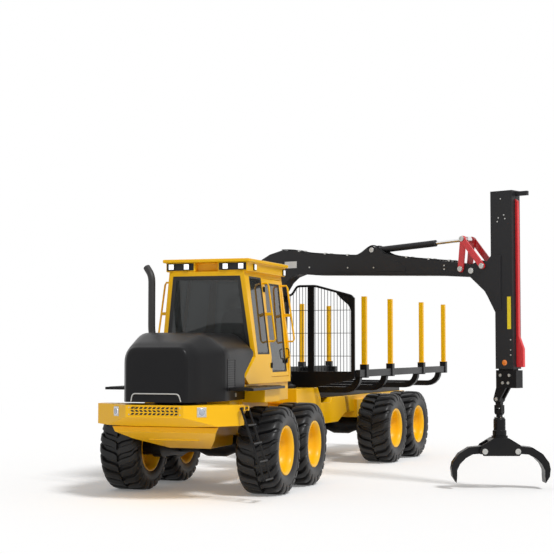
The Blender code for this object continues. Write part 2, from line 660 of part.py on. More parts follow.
node("load_bunk", spine, machine, "black", add=bunk_parts)

# ---------------------------------------------------------------- crane base and pillar
BASE_TOP = 1.74
node("crane_base", turned(((0.34, TOWER_TOP + GAP), (0.34, TOWER_TOP + 0.05),
                           (0.27, TOWER_TOP + 0.08), (0.27, BASE_TOP)),
                          (0.0, CRANE_Y), "z", 24), machine, "black")

PILLAR_FOOT = BASE_TOP + PIN_SIDE
EAR_IN = BOOM_HALF + PIN_SIDE
EAR_OUT = EAR_IN + 0.05
column = turned(((0.25, PILLAR_FOOT), (0.25, 1.90), (0.19, 2.0), (0.17, 3.06)), (0, 0), "z", 20)
pillar_ears = []
for side in (-1, 1):
    outline = [(-0.17, 2.80), (0.15, 2.80)] + ring(FOOT_PIN, 0.15, 9, 0, 180)
    low, high = sorted((side * EAR_IN, side * EAR_OUT))
    pillar_ears.append(prism(outline, low, high, "y"))
LUG_IN = 0.06                # half of a cylinder eye's thickness
lift_lugs = []
for side in (-1, 1):
    outline = [(-0.12, 1.98)] + ring(LIFT_PIN, 0.09, 7, 270, -180) + [(-0.12, 2.30)]
    low, high = sorted((side * (LUG_IN + PIN_SIDE), side * (LUG_IN + PIN_SIDE + 0.04)))
    lift_lugs.append(prism(outline, low, high, "y"))
node("pillar", column, crane, "charcoal", add=pillar_ears + lift_lugs)

# ---------------------------------------------------------------- boom
boom_pivot = Pivot("boom_foot", (FOOT_PIN[0], 0, FOOT_PIN[1]), crane)
# Boom outline as (along, height), round the tip, back under it, round the foot and the
# tail, then forward along the top over the cylinder's ear
BOOM_EDGE = (
    (4.357, 3.50), (4.35, 3.43), (4.29, 3.38), (4.19, 3.378), (3.60, 3.42), (1.00, 3.515),
    (0.62, 3.55), (0.44, 3.50), (0.30, 3.40), (0.20, 3.27), (0.12, 3.17), (-0.02, 3.13),
    (-0.14, 3.18), (-0.19, 3.29), (-0.30, 3.37), (-0.44, 3.385), (-0.56, 3.44),
    (-0.59, 3.54), (-0.53, 3.67), (-0.35, 3.81), (-0.08, 3.93), (0.20, 3.99), (0.48, 3.975),
    (0.767, 3.917), (1.756, 3.826), (1.96, 3.84), (2.14, 3.94), (2.24, 3.97), (2.34, 3.94),
    (2.50, 3.83), (2.818, 3.756), (3.955, 3.63), (4.20, 3.58), (4.32, 3.55),
)
PIN_BORE = 0.036
PIN = PIN_BORE - 0.002
boom = prism(BOOM_EDGE, -BOOM_HALF, BOOM_HALF, "y")


def bore(pin, radius, half):
    """A round bar across the crane at a pin."""
    return turned(((radius, -half), (radius, half)), pin, "y", 12)


ear_slot = box((1.80, 2.62), (-LUG_IN - PIN_SIDE, LUG_IN + PIN_SIDE), (3.835, 4.2))
tail_slot = box((-0.80, -0.34), (-LUG_IN - PIN_SIDE, LUG_IN + PIN_SIDE), (3.20, 3.72))
node("main_boom", boom, boom_pivot, "charcoal",
     cut=[ear_slot, tail_slot, bore(LINK_PIN, PIN_BORE, 0.2)])


def along(start, end, distance):
    """The point some distance from start towards end."""
    way = Vector(end) - Vector(start)
    return tuple(Vector(start) + way.normalized() * distance)


def bar(start, end, radius, first, last, count=12):
    """A round bar on the line between two crane pins, between two distances."""
    ends = [along(start, end, first), along(start, end, last)]
    return swept([(a, 0.0, z) for a, z in ends], radius, count)


def tongue_eye(pin, radius):
    """A flat round eye that fits between two lugs."""
    return turned(((radius, -LUG_IN), (radius, LUG_IN)), pin, "y", 16)


# Cylinders as (pivot, base pin, rod's eye, barrel's end, barrel's radius, rod's radius,
# length of rod inside the barrel, length that the rod draws in, half width of its eye)
CYLINDERS = {
    "lift": (crane, LIFT_PIN, TAIL_PIN, 0.80, 0.07, 0.04, 0.28, 0.385, LUG_IN),
    "fold": (boom_pivot, EAR_PIN, TOP_PIN, 1.24, 0.055, 0.028, 0.30, 0.265, BOOM_HALF),
}
for name, row in CYLINDERS.items():
    pivot, base, eye, barrel_end, radius, rod_radius, held, stroke, eye_half = row
    length = (Vector(eye) - Vector(base)).length
    barrel_pivot = Pivot(name + "_base", (base[0], 0, base[1]), pivot)
    barrel = bar(base, eye, radius, 0.10, barrel_end)
    hollow = bar(base, eye, rod_radius + 0.004, barrel_end - held - stroke, barrel_end + 0.05)
    neck = bar(base, eye, radius * 0.7, 0.0, 0.12)
    node(name + "_barrel", barrel, barrel_pivot, "charcoal",
         add=[tongue_eye(base, 0.055), neck], cut=[hollow])
    rod = bar(base, eye, rod_radius, barrel_end - held, length - 0.02)
    node(name + "_rod", rod, barrel_pivot, "chrome",
         add=[tongue_eye(eye, 0.05), bore(eye, 0.03, eye_half)])


def link(name, pivot, near, far, inner, width):
    """Two plates between two pins, held together by the pin at the near end."""
    hinge = Pivot(name + "_pin", (near[0], 0, near[1]), pivot)
    way = Vector(far) - Vector(near)
    turn = math.degrees(math.atan2(way[1], way[0]))
    outline = ring(near, width, 7, turn + 90, 180) + ring(far, width, 7, turn - 90, 180)
    plates = []
    for side in (-1, 1):
        low, high = sorted((side * inner, side * (inner + LINK_PLATE)))
        plates.append(prism(outline, low, high, "y"))
    node(name, bore(near, PIN, inner + 0.01), hinge, "red", add=plates)
    return hinge


LOWER_INNER = BOOM_HALF + PIN_SIDE
UPPER_INNER = LOWER_INNER + LINK_PLATE + PIN_SIDE
link("lower_link", boom_pivot, LINK_PIN, TOP_PIN, LOWER_INNER, 0.055)

# ---------------------------------------------------------------- stick and extension
stick_pivot = Pivot("stick_hinge", (TIP_PIN[0], 0, TIP_PIN[1]), boom_pivot)
extension_pivot = Pivot("extension_slide", (STICK_BACK, 0, STICK_FOOT), stick_pivot)
stick_edge = ((STICK_BACK, STICK_TOP), (STICK_BACK, 3.60), (STICK_BACK + 0.075, 2.80),
              (STICK_BACK + 0.075, STICK_FOOT), (STICK_FACE, STICK_FOOT),
              (STICK_FACE, STICK_TOP))
stick = prism(stick_edge, -STICK_HALF, STICK_HALF, "y")
INNER_HALF = 0.085
INNER_BACK = STICK_BACK + 0.075 + 0.03
INNER_FACE = STICK_FACE - 0.03
BRACKET_IN = BOOM_HALF + PIN_SIDE
bracket_edge = ring(TIP_PIN, 0.10, 7, 250, -130) + [
    (4.42, 3.64), (4.55, 3.62), (4.62, 3.70), (4.80, 3.70), (4.80, 2.84),
    (4.69, 2.84), (4.50, 3.14)]
brackets = []
for side in (-1, 1):
    low, high = sorted((side * BRACKET_IN, side * (BRACKET_IN + LINK_PLATE)))
    brackets.append(prism(bracket_edge, low, high, "y"))
stick_arm = box((STICK_FACE - 0.01, STICK_FACE + 0.22), (-0.03, 0.03),
                (STICK_TOP - 0.09, STICK_TOP - 0.02))
extension_way = box((INNER_BACK - RUN_GAP, INNER_FACE + RUN_GAP),
                    (-INNER_HALF - PIN_SIDE, INNER_HALF + PIN_SIDE),
                    (STICK_FOOT - 0.1, STICK_TOP - 0.30))
node("stick", stick, stick_pivot, "charcoal", add=brackets + [stick_arm],
     cut=[extension_way, bore(STICK_PIN, PIN_BORE, 0.3)])

GUARD_HALF = 0.03
guard = prism([(STICK_FACE + GAP, 4.60), (STICK_FACE + 0.05, 4.56), (STICK_FACE + 0.05, 2.42),
               (STICK_FACE + 0.13, 2.22), (STICK_FACE + 0.13, 1.93), (STICK_FACE + GAP, 1.93)],
              -GUARD_HALF, GUARD_HALF, "y")
node("hose_guard", guard, stick_pivot, "red")
link("upper_link", stick_pivot, STICK_PIN, TOP_PIN, UPPER_INNER, 0.05)

STICK_MID = (INNER_BACK + INNER_FACE) / 2
inner_tube = box((INNER_BACK, INNER_FACE), (-INNER_HALF, INNER_HALF),
                 (STICK_FOOT - 0.04, TUBE_TOP))
crosshead = box((STICK_MID - 0.17, STICK_MID + 0.20), (-0.10, 0.10),
                (CROSSHEAD_FOOT, STICK_FOOT - 0.02))
FORK_IN = 0.045
fork = []
for side in (-1, 1):
    outline = [(HANG + 0.20, CROSSHEAD_FOOT + 0.05), (HANG + 0.01, CROSSHEAD_FOOT + 0.05)]
    outline += ring((HANG, SWING_PIN_Z), 0.06, 9, 170, 190)
    low, high = sorted((side * FORK_IN, side * (FORK_IN + 0.04)))
    fork.append(prism(outline, low, high, "y"))
node("extension", inner_tube, extension_pivot, "black", add=[crosshead] + fork)

# ---------------------------------------------------------------- rotator and grapple
swing_pivot = Pivot("swing_pin", (HANG, 0, SWING_PIN_Z), extension_pivot)
HEAD_FOOT = CROSS_PIN_Z + 0.06
hanger = prism(ring((HANG, SWING_PIN_Z), 0.055, 9, 0, 180)
               + [(HANG - 0.04, HEAD_FOOT + 0.02), (HANG + 0.04, HEAD_FOOT + 0.02)],
               -FORK_IN + PIN_SIDE, FORK_IN - PIN_SIDE, "y")
CHEEK_IN = 0.035
hanger_cheeks = []
for side in (-1, 1):
    low, high = sorted((side * CHEEK_IN, side * (CHEEK_IN + 0.03)))
    outline = ring((0, CROSS_PIN_Z), 0.05, 9, 180, 180)
    outline += [(0.05, HEAD_FOOT + 0.02), (-0.05, HEAD_FOOT + 0.02)]
    hanger_cheeks.append(prism(outline, HANG + low, HANG + high, "x"))
hanger_head = box((HANG - 0.065, HANG + 0.065), (-0.05, 0.05), (HEAD_FOOT, HEAD_FOOT + 0.045))
node("hanger", hanger_head, swing_pivot, "black", add=[hanger] + hanger_cheeks)

cross_pivot = Pivot("cross_pin", (HANG, 0, CROSS_PIN_Z), swing_pivot)
rotator_eye = prism(ring((0, CROSS_PIN_Z), 0.045, 9, 0, 180)
                    + [(-0.045, ROTATOR_TOP - 0.02), (0.045, ROTATOR_TOP - 0.02)],
                    HANG - CHEEK_IN + PIN_SIDE, HANG + CHEEK_IN - PIN_SIDE, "x")
rotator_body = turned(((0.07, ROTATOR_TOP), (0.095, ROTATOR_TOP - 0.03), (0.095, 0.93),
                       (0.11, 0.92), (0.11, ROTATOR_FOOT + PIN_SIDE)), (HANG, 0), "z", 20)
node("rotator", rotator_body, cross_pivot, "black", add=[rotator_eye])

# From here the pieces are drawn about the rotator's own axis
grapple_pivot = Pivot("rotator_axis", (HANG, 0, 0), cross_pivot, heading=GRAPPLE_REST)
flange = turned(((0.13, ROTATOR_FOOT), (0.13, GRAPPLE_TOP)), (0, 0), "z", 20)
PLATE_OUT = 0.19
PLATE = 0.025
beam_edge = [(-0.12, GRAPPLE_TOP + 0.01), (-0.30, 0.70), (-0.345, 0.60), (-0.28, 0.53),
             (0.28, 0.53), (0.345, 0.60), (0.30, 0.70), (0.12, GRAPPLE_TOP + 0.01)]
beam_plates = [prism(beam_edge, low, high, "y") for low, high in
               ((-PLATE_OUT, -PLATE_OUT + PLATE), (PLATE_OUT - PLATE, PLATE_OUT))]
beam_cap = prism([(-0.12, GRAPPLE_TOP + 0.01), (-0.19, 0.765), (0.19, 0.765),
                  (0.12, GRAPPLE_TOP + 0.01)], -PLATE_OUT + 0.01, PLATE_OUT - 0.01, "y")
node("grapple_frame", flange, grapple_pivot, "black", add=[beam_cap] + beam_plates)

# Claw outline for the side towards +, as (out from the axis, height)
CLAW_EDGE = ((0.20, 0.66), (0.30, 0.68), (0.50, 0.66), (0.66, 0.56), (0.76, 0.42),
             (CLAW_REACH, 0.32), (0.765, 0.20), (0.70, CLAW_TIP_Z), (0.69, 0.20),
             (0.69, 0.30), (0.64, 0.40), (0.55, 0.49), (0.44, 0.55), (0.30, 0.56),
             (0.20, 0.55))
CLAW_HALF = {"left": 0.15, "right": 0.10}
for side_name, side in SIDES.items():
    claw_pivot = Pivot("claw_pin_" + side_name, (side * CLAW_PIN_X, 0, CLAW_PIN_Z),
                       grapple_pivot)
    outline = [(side * out, z) for out, z in CLAW_EDGE]
    half = CLAW_HALF[side_name]
    boss = bore((side * CLAW_PIN_X, CLAW_PIN_Z), 0.045, PLATE_OUT - PLATE - PIN_SIDE)
    node("claw_" + side_name, prism(outline, -half, half, "y"), claw_pivot, "black", add=[boss])

# ---------------------------------------------------------------- place the machine
# The origin is under the middle of the machine's box as it stands with its crane out.
bpy.context.view_layer.update()
lows = [math.inf, math.inf]
highs = [-math.inf, -math.inf]
for piece in bpy.context.scene.objects:
    if piece.type != "MESH" or piece.hide_render:
        continue
    for corner in piece.data.vertices:
        world = piece.matrix_world @ corner.co
        for i in range(2):
            lows[i] = min(lows[i], world[i])
            highs[i] = max(highs[i], world[i])
machine.empty.location = (-(lows[0] + highs[0]) / 2, -(lows[1] + highs[1]) / 2, 0.0)
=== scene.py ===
import json
import math

import bmesh
import bpy
import numpy as np
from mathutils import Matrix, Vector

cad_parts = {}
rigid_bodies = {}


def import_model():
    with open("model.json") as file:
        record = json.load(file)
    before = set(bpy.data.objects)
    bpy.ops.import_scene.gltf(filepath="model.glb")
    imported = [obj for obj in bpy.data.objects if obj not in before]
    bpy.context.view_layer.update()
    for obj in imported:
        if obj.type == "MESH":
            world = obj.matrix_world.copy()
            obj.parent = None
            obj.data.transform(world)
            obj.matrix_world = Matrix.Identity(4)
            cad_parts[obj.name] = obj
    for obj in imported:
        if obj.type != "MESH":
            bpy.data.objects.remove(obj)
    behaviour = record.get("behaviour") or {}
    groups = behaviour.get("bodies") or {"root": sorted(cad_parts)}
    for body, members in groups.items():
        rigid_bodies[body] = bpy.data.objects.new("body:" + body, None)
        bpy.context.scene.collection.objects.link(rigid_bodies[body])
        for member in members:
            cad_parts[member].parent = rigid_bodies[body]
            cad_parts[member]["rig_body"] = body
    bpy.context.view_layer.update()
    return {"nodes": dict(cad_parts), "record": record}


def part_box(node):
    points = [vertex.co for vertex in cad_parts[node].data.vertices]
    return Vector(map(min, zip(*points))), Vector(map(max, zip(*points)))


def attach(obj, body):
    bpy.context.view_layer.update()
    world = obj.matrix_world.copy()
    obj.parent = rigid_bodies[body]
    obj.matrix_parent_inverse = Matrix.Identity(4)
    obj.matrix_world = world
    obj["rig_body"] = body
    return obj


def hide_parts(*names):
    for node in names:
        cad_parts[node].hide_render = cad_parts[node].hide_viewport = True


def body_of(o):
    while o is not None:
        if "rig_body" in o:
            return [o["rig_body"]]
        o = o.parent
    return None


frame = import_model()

joints = {joint["name"]: joint for joint in frame["record"]["behaviour"]["joints"]}
nodes = frame["nodes"]

# ------------------------------------------------------------------ camera, light, floor
# A white studio: the machine stands on a pale floor that fades to white far out, under
# an even white light from all round and one soft lamp high on the camera's right.
CAMERA_AZIMUTH = 22.9        # degrees the camera stands round from the machine's nose
CAMERA_DISTANCE = 24.3       # from the steering hinge
CAMERA_ASIDE = 0.19
CAMERA_HEIGHT = 2.25
CAMERA_PITCH = 2.94          # degrees up
LENS = 88.3
ALL_ROUND = 0.45
LAMP_STRENGTH = 2.0
LAMP_HEIGHT = 50.0           # degrees above the floor
LAMP_AZIMUTH = 62.0          # degrees round from the nose, to the machine's left
LAMP_SOFTNESS = 12.0         # degrees across
FLOOR_COLOUR = (0.93, 0.93, 0.93, 1.0)
FLOOR_LIFT = 0.14
FLOOR_HALF = 160.0
FADE_START, FADE_END = 11.0, 26.0

hinge = np.array(joints["steer"]["pos_m"])
turn = math.radians(CAMERA_AZIMUTH)
view_way = np.array((-math.sin(turn), math.cos(turn), 0.0))
view_right = np.array((math.cos(turn), math.sin(turn), 0.0))
eye = bpy.data.objects.new("camera", bpy.data.cameras.new("camera"))
eye.location = hinge - view_way * CAMERA_DISTANCE + view_right * CAMERA_ASIDE
eye.location.z = CAMERA_HEIGHT
eye.rotation_euler = (math.radians(90.0 + CAMERA_PITCH), 0.0, turn)
eye.data.sensor_width = 36.0
eye.data.lens = LENS
eye.data.clip_end = 500.0
bpy.context.collection.objects.link(eye)
scene = bpy.context.scene
scene.camera = eye
scene.view_settings.view_transform = "Standard"


def step(tree, kind, inputs=None, **options):
    """One shader node, with its options set and each input given a value or a wire."""
    made = tree.nodes.new("ShaderNode" + kind)
    for option, value in options.items():
        setattr(made, option, value)
    for socket, value in (inputs or {}).items():
        if isinstance(value, bpy.types.NodeSocket):
            tree.links.new(value, made.inputs[socket])
        else:
            made.inputs[socket].default_value = value
    return made


def seen_directly(tree):
    """1 for rays from the camera, or that reached here by a reflection or through glass."""
    rays = step(tree, "LightPath")
    mirrored = step(tree, "Math", {0: rays.outputs["Is Glossy Ray"],
                                   1: rays.outputs["Is Transmission Ray"]}, operation="MAXIMUM")
    return step(tree, "Math", {0: rays.outputs["Is Camera Ray"], 1: mirrored.outputs[0]},
                operation="MAXIMUM").outputs[0]


studio = bpy.data.worlds.new("studio")
scene.world = studio
studio.use_nodes = True
tree = studio.node_tree
tree.nodes.clear()
even = step(tree, "Background", {"Color": (1, 1, 1, 1), "Strength": ALL_ROUND})
white = step(tree, "Background", {"Color": (1, 1, 1, 1), "Strength": 1.0})
chosen = step(tree, "MixShader", {0: seen_directly(tree), 1: even.outputs[0],
                                  2: white.outputs[0]})
step(tree, "OutputWorld", {"Surface": chosen.outputs[0]})

lamp = bpy.data.objects.new("soft_lamp", bpy.data.lights.new("soft_lamp", "SUN"))
lamp.data.energy = LAMP_STRENGTH
lamp.data.angle = math.radians(LAMP_SOFTNESS)
lamp.rotation_euler = (math.radians(90.0 - LAMP_HEIGHT), 0.0, math.radians(LAMP_AZIMUTH))
bpy.context.collection.objects.link(lamp)

floor_mesh = bpy.data.meshes.new("studio_floor")
corners = np.array(((-1, -1, 0), (1, -1, 0), (1, 1, 0), (-1, 1, 0))) * FLOOR_HALF
floor_mesh.from_pydata(corners.tolist(), [], [(0, 1, 2, 3)])
floor_finish = bpy.data.materials.new("pale floor")
floor_finish.use_nodes = True
tree = floor_finish.node_tree
tree.nodes.clear()
place = step(tree, "TexCoord")
far = step(tree, "VectorMath", {0: place.outputs["Object"]}, operation="LENGTH")
fade = step(tree, "MapRange", {"Value": far.outputs["Value"], "From Min": FADE_START,
                               "From Max": FADE_END}, interpolation_type="SMOOTHSTEP")
speckle = step(tree, "TexNoise", {"Vector": place.outputs["Object"], "Scale": 3.0})
tone = step(tree, "MapRange", {"Value": speckle.outputs["Fac"], "To Min": 0.985, "To Max": 1.0})
mottled = step(tree, "Mix", {0: 1.0, 6: FLOOR_COLOUR, 7: tone.outputs[0]},
               data_type="RGBA", blend_type="MULTIPLY")
seen = seen_directly(tree)
lift = step(tree, "Math", {0: seen, 1: FLOOR_LIFT}, operation="MULTIPLY")
matt = step(tree, "BsdfDiffuse", {"Color": mottled.outputs[2]})
glow = step(tree, "Emission", {"Strength": lift.outputs[0]})
lit = step(tree, "AddShader", {0: matt.outputs[0], 1: glow.outputs[0]})
open_white = step(tree, "Emission", {"Strength": 1.0})
away = step(tree, "Math", {0: seen, 1: fade.outputs[0]}, operation="MULTIPLY")
whole = step(tree, "MixShader", {0: away.outputs[0], 1: lit.outputs[0],
                                 2: open_white.outputs[0]})
step(tree, "OutputMaterial", {"Surface": whole.outputs[0]})
floor_mesh.materials.append(floor_finish)
studio_floor = bpy.data.objects.new("studio_floor", floor_mesh)
bpy.context.collection.objects.link(studio_floor)


# ------------------------------------------------------------------ wheels
# Eight wide low-pressure forestry tyres of black rubber, moulded with two rows of bent
# lugs, on welded steel rims painted yellow and held to the bogie hubs by a ring of nuts.
def board(origin, first):
    """A drawing board: where its origin lies, and its three ways as the rows of a table."""
    first = np.array(first, float)
    ways = np.array((first, (-first[1], first[0], 0.0), (0.0, 0.0, 1.0)))
    return np.array(origin, float), ways


def skin(points, round_rows=False, caps=True):
    """A surface over a grid of points (rows, columns, 3): each row is a closed loop that is
    joined to the next one by four-sided faces, and the first and last are capped. With a
    fourth dimension in front, one such surface for each of its grids."""
    grids = points.reshape((-1,) + points.shape[-3:])
    count, rows, columns = grids.shape[:3]
    row, column = np.meshgrid(np.arange(rows if round_rows else rows - 1),
                              np.arange(columns), indexing="ij")
    here, above = row * columns, (row + 1) % rows * columns
    beside = (column + 1) % columns
    quads = np.stack((here + column, here + beside, above + beside, above + column), -1)
    starts = (np.arange(count) * rows * columns)[:, None, None]
    faces = [(quads.reshape(1, -1, 4) + starts).reshape(-1, 4)]
    if caps and not round_rows:
        ends = np.stack((np.arange(columns)[::-1], np.arange(columns) + (rows - 1) * columns))
        faces.append((ends[None] + starts).reshape(-1, columns))
    return grids.reshape(-1, 3), faces


def turned(profile, count, axis=0, centre=(0.0, 0.0, 0.0), closed=False):
    """A profile of (radius, place along the axis) turned about one axis through centre."""
    radius, along = np.asarray(profile, float).T
    angle = np.arange(count) * 2.0 * math.pi / count
    points = np.empty((len(radius), count, 3))
    points[..., axis] = along[:, None]
    points[..., (axis + 1) % 3] = radius[:, None] * np.cos(angle)
    points[..., (axis + 2) % 3] = radius[:, None] * np.sin(angle)
    return skin(points + np.asarray(centre), round_rows=closed)


def through(points, steps):
    """A smooth curve through points: between two of them runs the cubic whose slope at each
    end is half the way from the point before to the point after (Catmull-Rom)."""
    points = np.asarray(points, float)
    row = np.vstack((points[:1], points, points[-1:]))
    before, start, end, after = row[:-3, None], row[1:-2, None], row[2:-1, None], row[3:, None]
    t = np.arange(steps)[None, :, None] / steps
    curve = 0.5 * (2 * start + (end - before) * t + (2 * before - 5 * start + 4 * end - after)
                   * t ** 2 + (3 * start - before - 3 * end + after) * t ** 3)
    return np.vstack((curve.reshape(-1, points.shape[1]), points[-1:]))


def make(name, shapes, drawn_on, material, body, bevel=0.0, sharp=35.0):
    """One finished piece: shapes drawn on a board, put in their place, turned outwards,
    given their material and set to ride on a body. A bevel breaks its hard edges."""
    origin, ways = drawn_on
    points, faces, start = [], [], 0
    for shape_points, shape_faces in shapes:
        points.append(shape_points)
        faces += [face for table in shape_faces for face in (table + start).tolist()]
        start += len(shape_points)
    mesh = bpy.data.meshes.new(name)
    mesh.from_pydata((origin + np.vstack(points) @ ways).tolist(), [], faces)
    return finished(name, mesh, material, body, bevel, sharp)


def finished(name, mesh, material, body, bevel, sharp=35.0):
    """A piece from its mesh: doubles merged, faces outwards, edges eased, material, body."""
    work = bmesh.new()
    work.from_mesh(mesh)
    bmesh.ops.remove_doubles(work, verts=work.verts[:], dist=0.00005)
    bmesh.ops.dissolve_degenerate(work, edges=work.edges[:], dist=0.00005)
    bmesh.ops.recalc_face_normals(work, faces=work.faces[:])
    work.to_mesh(mesh)
    work.free()
    mesh.materials.clear()
    mesh.materials.append(material)
    mesh.shade_smooth()
    mesh.set_sharp_from_angle(angle=math.radians(sharp))
    piece = bpy.data.objects.new(name, mesh)
    bpy.context.collection.objects.link(piece)
    if bevel:
        eased = piece.modifiers.new("eased edges", "BEVEL")
        eased.width = bevel
        eased.segments = 2
        eased.limit_method = "ANGLE"
        eased.angle_limit = math.radians(32.0)
        eased.harden_normals = True
        eased.use_clamp_overlap = True
    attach(piece, body)
    return piece


WEAR_INPUTS = (("Finish", "NodeSocketColor", (0.5, 0.5, 0.5, 1.0)),
               ("Dust", "NodeSocketColor", (0.4, 0.34, 0.26, 1.0)),
               ("Dusting", "NodeSocketFloat", 0.2), ("Shine", "NodeSocketFloat", 0.35),
               ("Grain", "NodeSocketFloat", 60.0), ("Mottle", "NodeSocketFloat", 0.12))
wear = bpy.data.node_groups.new("surface wear", "ShaderNodeTree")
for socket_name, socket_kind, value in WEAR_INPUTS:
    wear.interface.new_socket(socket_name, in_out="INPUT", socket_type=socket_kind
                              ).default_value = value
for socket_name, socket_kind in (("Colour", "NodeSocketColor"), ("Roughness", "NodeSocketFloat"),
                                 ("Height", "NodeSocketFloat")):
    wear.interface.new_socket(socket_name, in_out="OUTPUT", socket_type=socket_kind)
given = wear.nodes.new("NodeGroupInput").outputs
place = step(wear, "TexCoord").outputs["Object"]
broad = step(wear, "TexNoise", {"Vector": place, "Scale": 1.3, "Detail": 5.0})
fine = step(wear, "TexNoise", {"Vector": place, "Scale": given["Grain"], "Detail": 4.0})
patchy = step(wear, "MapRange", {"Value": broad.outputs["Fac"], "From Min": 0.38,
                                 "From Max": 0.72})
height = step(wear, "SeparateXYZ", {0: place}).outputs["Z"]
low = step(wear, "MapRange", {"Value": height, "From Min": 1.7, "From Max": 0.1,
                              "To Min": 0.15, "To Max": 1.0})
cover = step(wear, "Math", {0: patchy.outputs[0], 1: low.outputs[0]}, operation="MULTIPLY")
speck = step(wear, "Math", {0: cover.outputs[0], 1: fine.outputs["Fac"]}, operation="MULTIPLY")
dusty = step(wear, "Math", {0: speck.outputs[0], 1: given["Dusting"]}, operation="MULTIPLY",
             use_clamp=True)
uneven = step(wear, "Math", {0: broad.outputs["Fac"], 1: -0.5}, operation="ADD")
shade = step(wear, "Math", {0: uneven.outputs[0], 1: given["Mottle"], 2: 1.0},
             operation="MULTIPLY_ADD")
toned = step(wear, "Mix", {0: 1.0, 6: given["Finish"], 7: shade.outputs[0]}, data_type="RGBA",
             blend_type="MULTIPLY")
coloured = step(wear, "Mix", {0: dusty.outputs[0], 6: toned.outputs[2], 7: given["Dust"]},
                data_type="RGBA")
grained = step(wear, "Math", {0: uneven.outputs[0], 1: 0.16, 2: given["Shine"]},
               operation="MULTIPLY_ADD")
rough = step(wear, "Math", {0: dusty.outputs[0], 1: 0.5, 2: grained.outputs[0]},
             operation="MULTIPLY_ADD", use_clamp=True)
result = wear.nodes.new("NodeGroupOutput").inputs
for socket_name, value in (("Colour", coloured.outputs[2]), ("Roughness", rough.outputs[0]),
                           ("Height", fine.outputs["Fac"])):
    wear.links.new(value, result[socket_name])


def coated(name, colour, shine, grain=60.0, dusting=0.2, mottle=0.12, bump=0.15, depth=0.0005,
           **sockets):
    """A worn finish on a Principled shader: its colour, roughness and grain come from the
    wear group, and what is the same all over is set on the shader's own sockets."""
    material = bpy.data.materials.new(name)
    material.use_nodes = True
    tree = material.node_tree
    worn = tree.nodes.new("ShaderNodeGroup")
    worn.node_tree = wear
    for socket, value in (("Finish", tuple(colour) + (1.0,)), ("Shine", shine),
                          ("Grain", grain), ("Dusting", dusting), ("Mottle", mottle)):
        worn.inputs[socket].default_value = value
    shader = tree.nodes["Principled BSDF"]
    tree.links.new(worn.outputs["Colour"], shader.inputs["Base Color"])
    tree.links.new(worn.outputs["Roughness"], shader.inputs["Roughness"])
    bumped = step(tree, "Bump", {"Height": worn.outputs["Height"], "Strength": bump,
                                 "Distance": depth})
    tree.links.new(bumped.outputs["Normal"], shader.inputs["Normal"])
    for socket, value in sockets.items():
        shader.inputs[socket.replace("_", " ")].default_value = value
    return material


def parted(material, under, height):
    """The material with another colour below a height, parted by a sharp masking line."""
    tree = material.node_tree
    worn = next(node for node in tree.nodes if node.type == "GROUP")
    place = step(tree, "TexCoord").outputs["Object"]
    z = step(tree, "SeparateXYZ", {0: place}).outputs["Z"]
    above = step(tree, "Math", {0: z, 1: height}, operation="GREATER_THAN").outputs[0]
    over = tuple(worn.inputs["Finish"].default_value)
    both = step(tree, "Mix", {0: above, 6: tuple(under) + (1.0,), 7: over}, data_type="RGBA")
    tree.links.new(both.outputs[2], worn.inputs["Finish"])
    return material


YELLOW = (0.95, 0.51, 0.002)
BLACK = (0.006, 0.006, 0.007)
yellow_paint = coated("gloss yellow paint", YELLOW, 0.34, dusting=0.14, mottle=0.06,
                      Coat_Weight=0.06, Coat_Roughness=0.15, Specular_IOR_Level=0.25)
tyre_rubber = coated("tyre rubber", (0.008, 0.008, 0.009), 0.40, grain=130.0, dusting=0.08,
                     mottle=0.2, bump=0.35, depth=0.0012, Specular_IOR_Level=0.32)
zinc = coated("zinc plated steel", (0.52, 0.52, 0.50), 0.34, grain=220.0, dusting=0.3,
              Metallic=0.9)

wheel_low, wheel_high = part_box("wheel_rear_left_leading")
TYRE_RADIUS = (wheel_high.z - wheel_low.z) / 2
TYRE_HALF = (wheel_high.x - wheel_low.x) / 2
# Half of the carcass section as (radius, out from the middle), crown to bead
CARCASS = ((0.622, 0.0), (0.620, 0.15), (0.608, 0.25), (0.575, 0.305), (0.50, 0.322),
           (0.42, 0.305), (0.362, 0.272))
# A lug's crest as (out from the middle, radius), middle to side wall
LUG_CREST = ((0.010, TYRE_RADIUS - 0.0005), (0.20, TYRE_RADIUS - 0.0015),
             (0.275, TYRE_RADIUS - 0.018), (0.317, TYRE_RADIUS - 0.07),
             (TYRE_HALF - 0.003, TYRE_RADIUS - 0.14))
LUGS = 22                    # in each of the two rows
LUG_WIDTH = 0.098
LUG_DEPTH = 0.055
LUG_LEAD = 0.30              # radians that its outer end lags its middle
LUG_CURVE = 0.7              # power of the way along that the lag follows
LUG_FADE = 0.6               # share of the depth that is lost at the side wall
LUG_SPREAD = 0.25            # share of the width that is gained there
# Across a lug as (share of its width, share of its height)
LUG_SECTION = ((-0.62, 0.0), (-0.52, 0.7), (-0.46, 0.95), (-0.36, 1.0), (0.36, 1.0),
               (0.46, 0.95), (0.52, 0.7), (0.62, 0.0))
# Rim section as (radius, out): outer hub face, dish, flange, well, inner flange, inner hub
RIM = ((0.001, 0.130), (0.115, 0.130), (0.135, 0.125), (0.145, 0.115), (0.150, 0.100),
       (0.175, 0.088), (0.275, 0.088), (0.298, 0.105), (0.312, 0.20), (0.322, 0.255),
       (0.345, 0.282), (0.362, 0.292), (0.376, 0.289), (0.378, 0.278), (0.362, 0.268),
       (0.352, 0.20), (0.352, -0.20), (0.362, -0.268), (0.378, -0.278), (0.376, -0.289),
       (0.362, -0.292), (0.345, -0.282), (0.322, -0.255), (0.300, -0.08), (0.16, -0.06),
       (0.13, -0.098), (0.001, -0.098))
HUB_NUTS = 12
NUT_CIRCLE = 0.225
CAP_BOLTS = 8
CAP_CIRCLE = 0.095


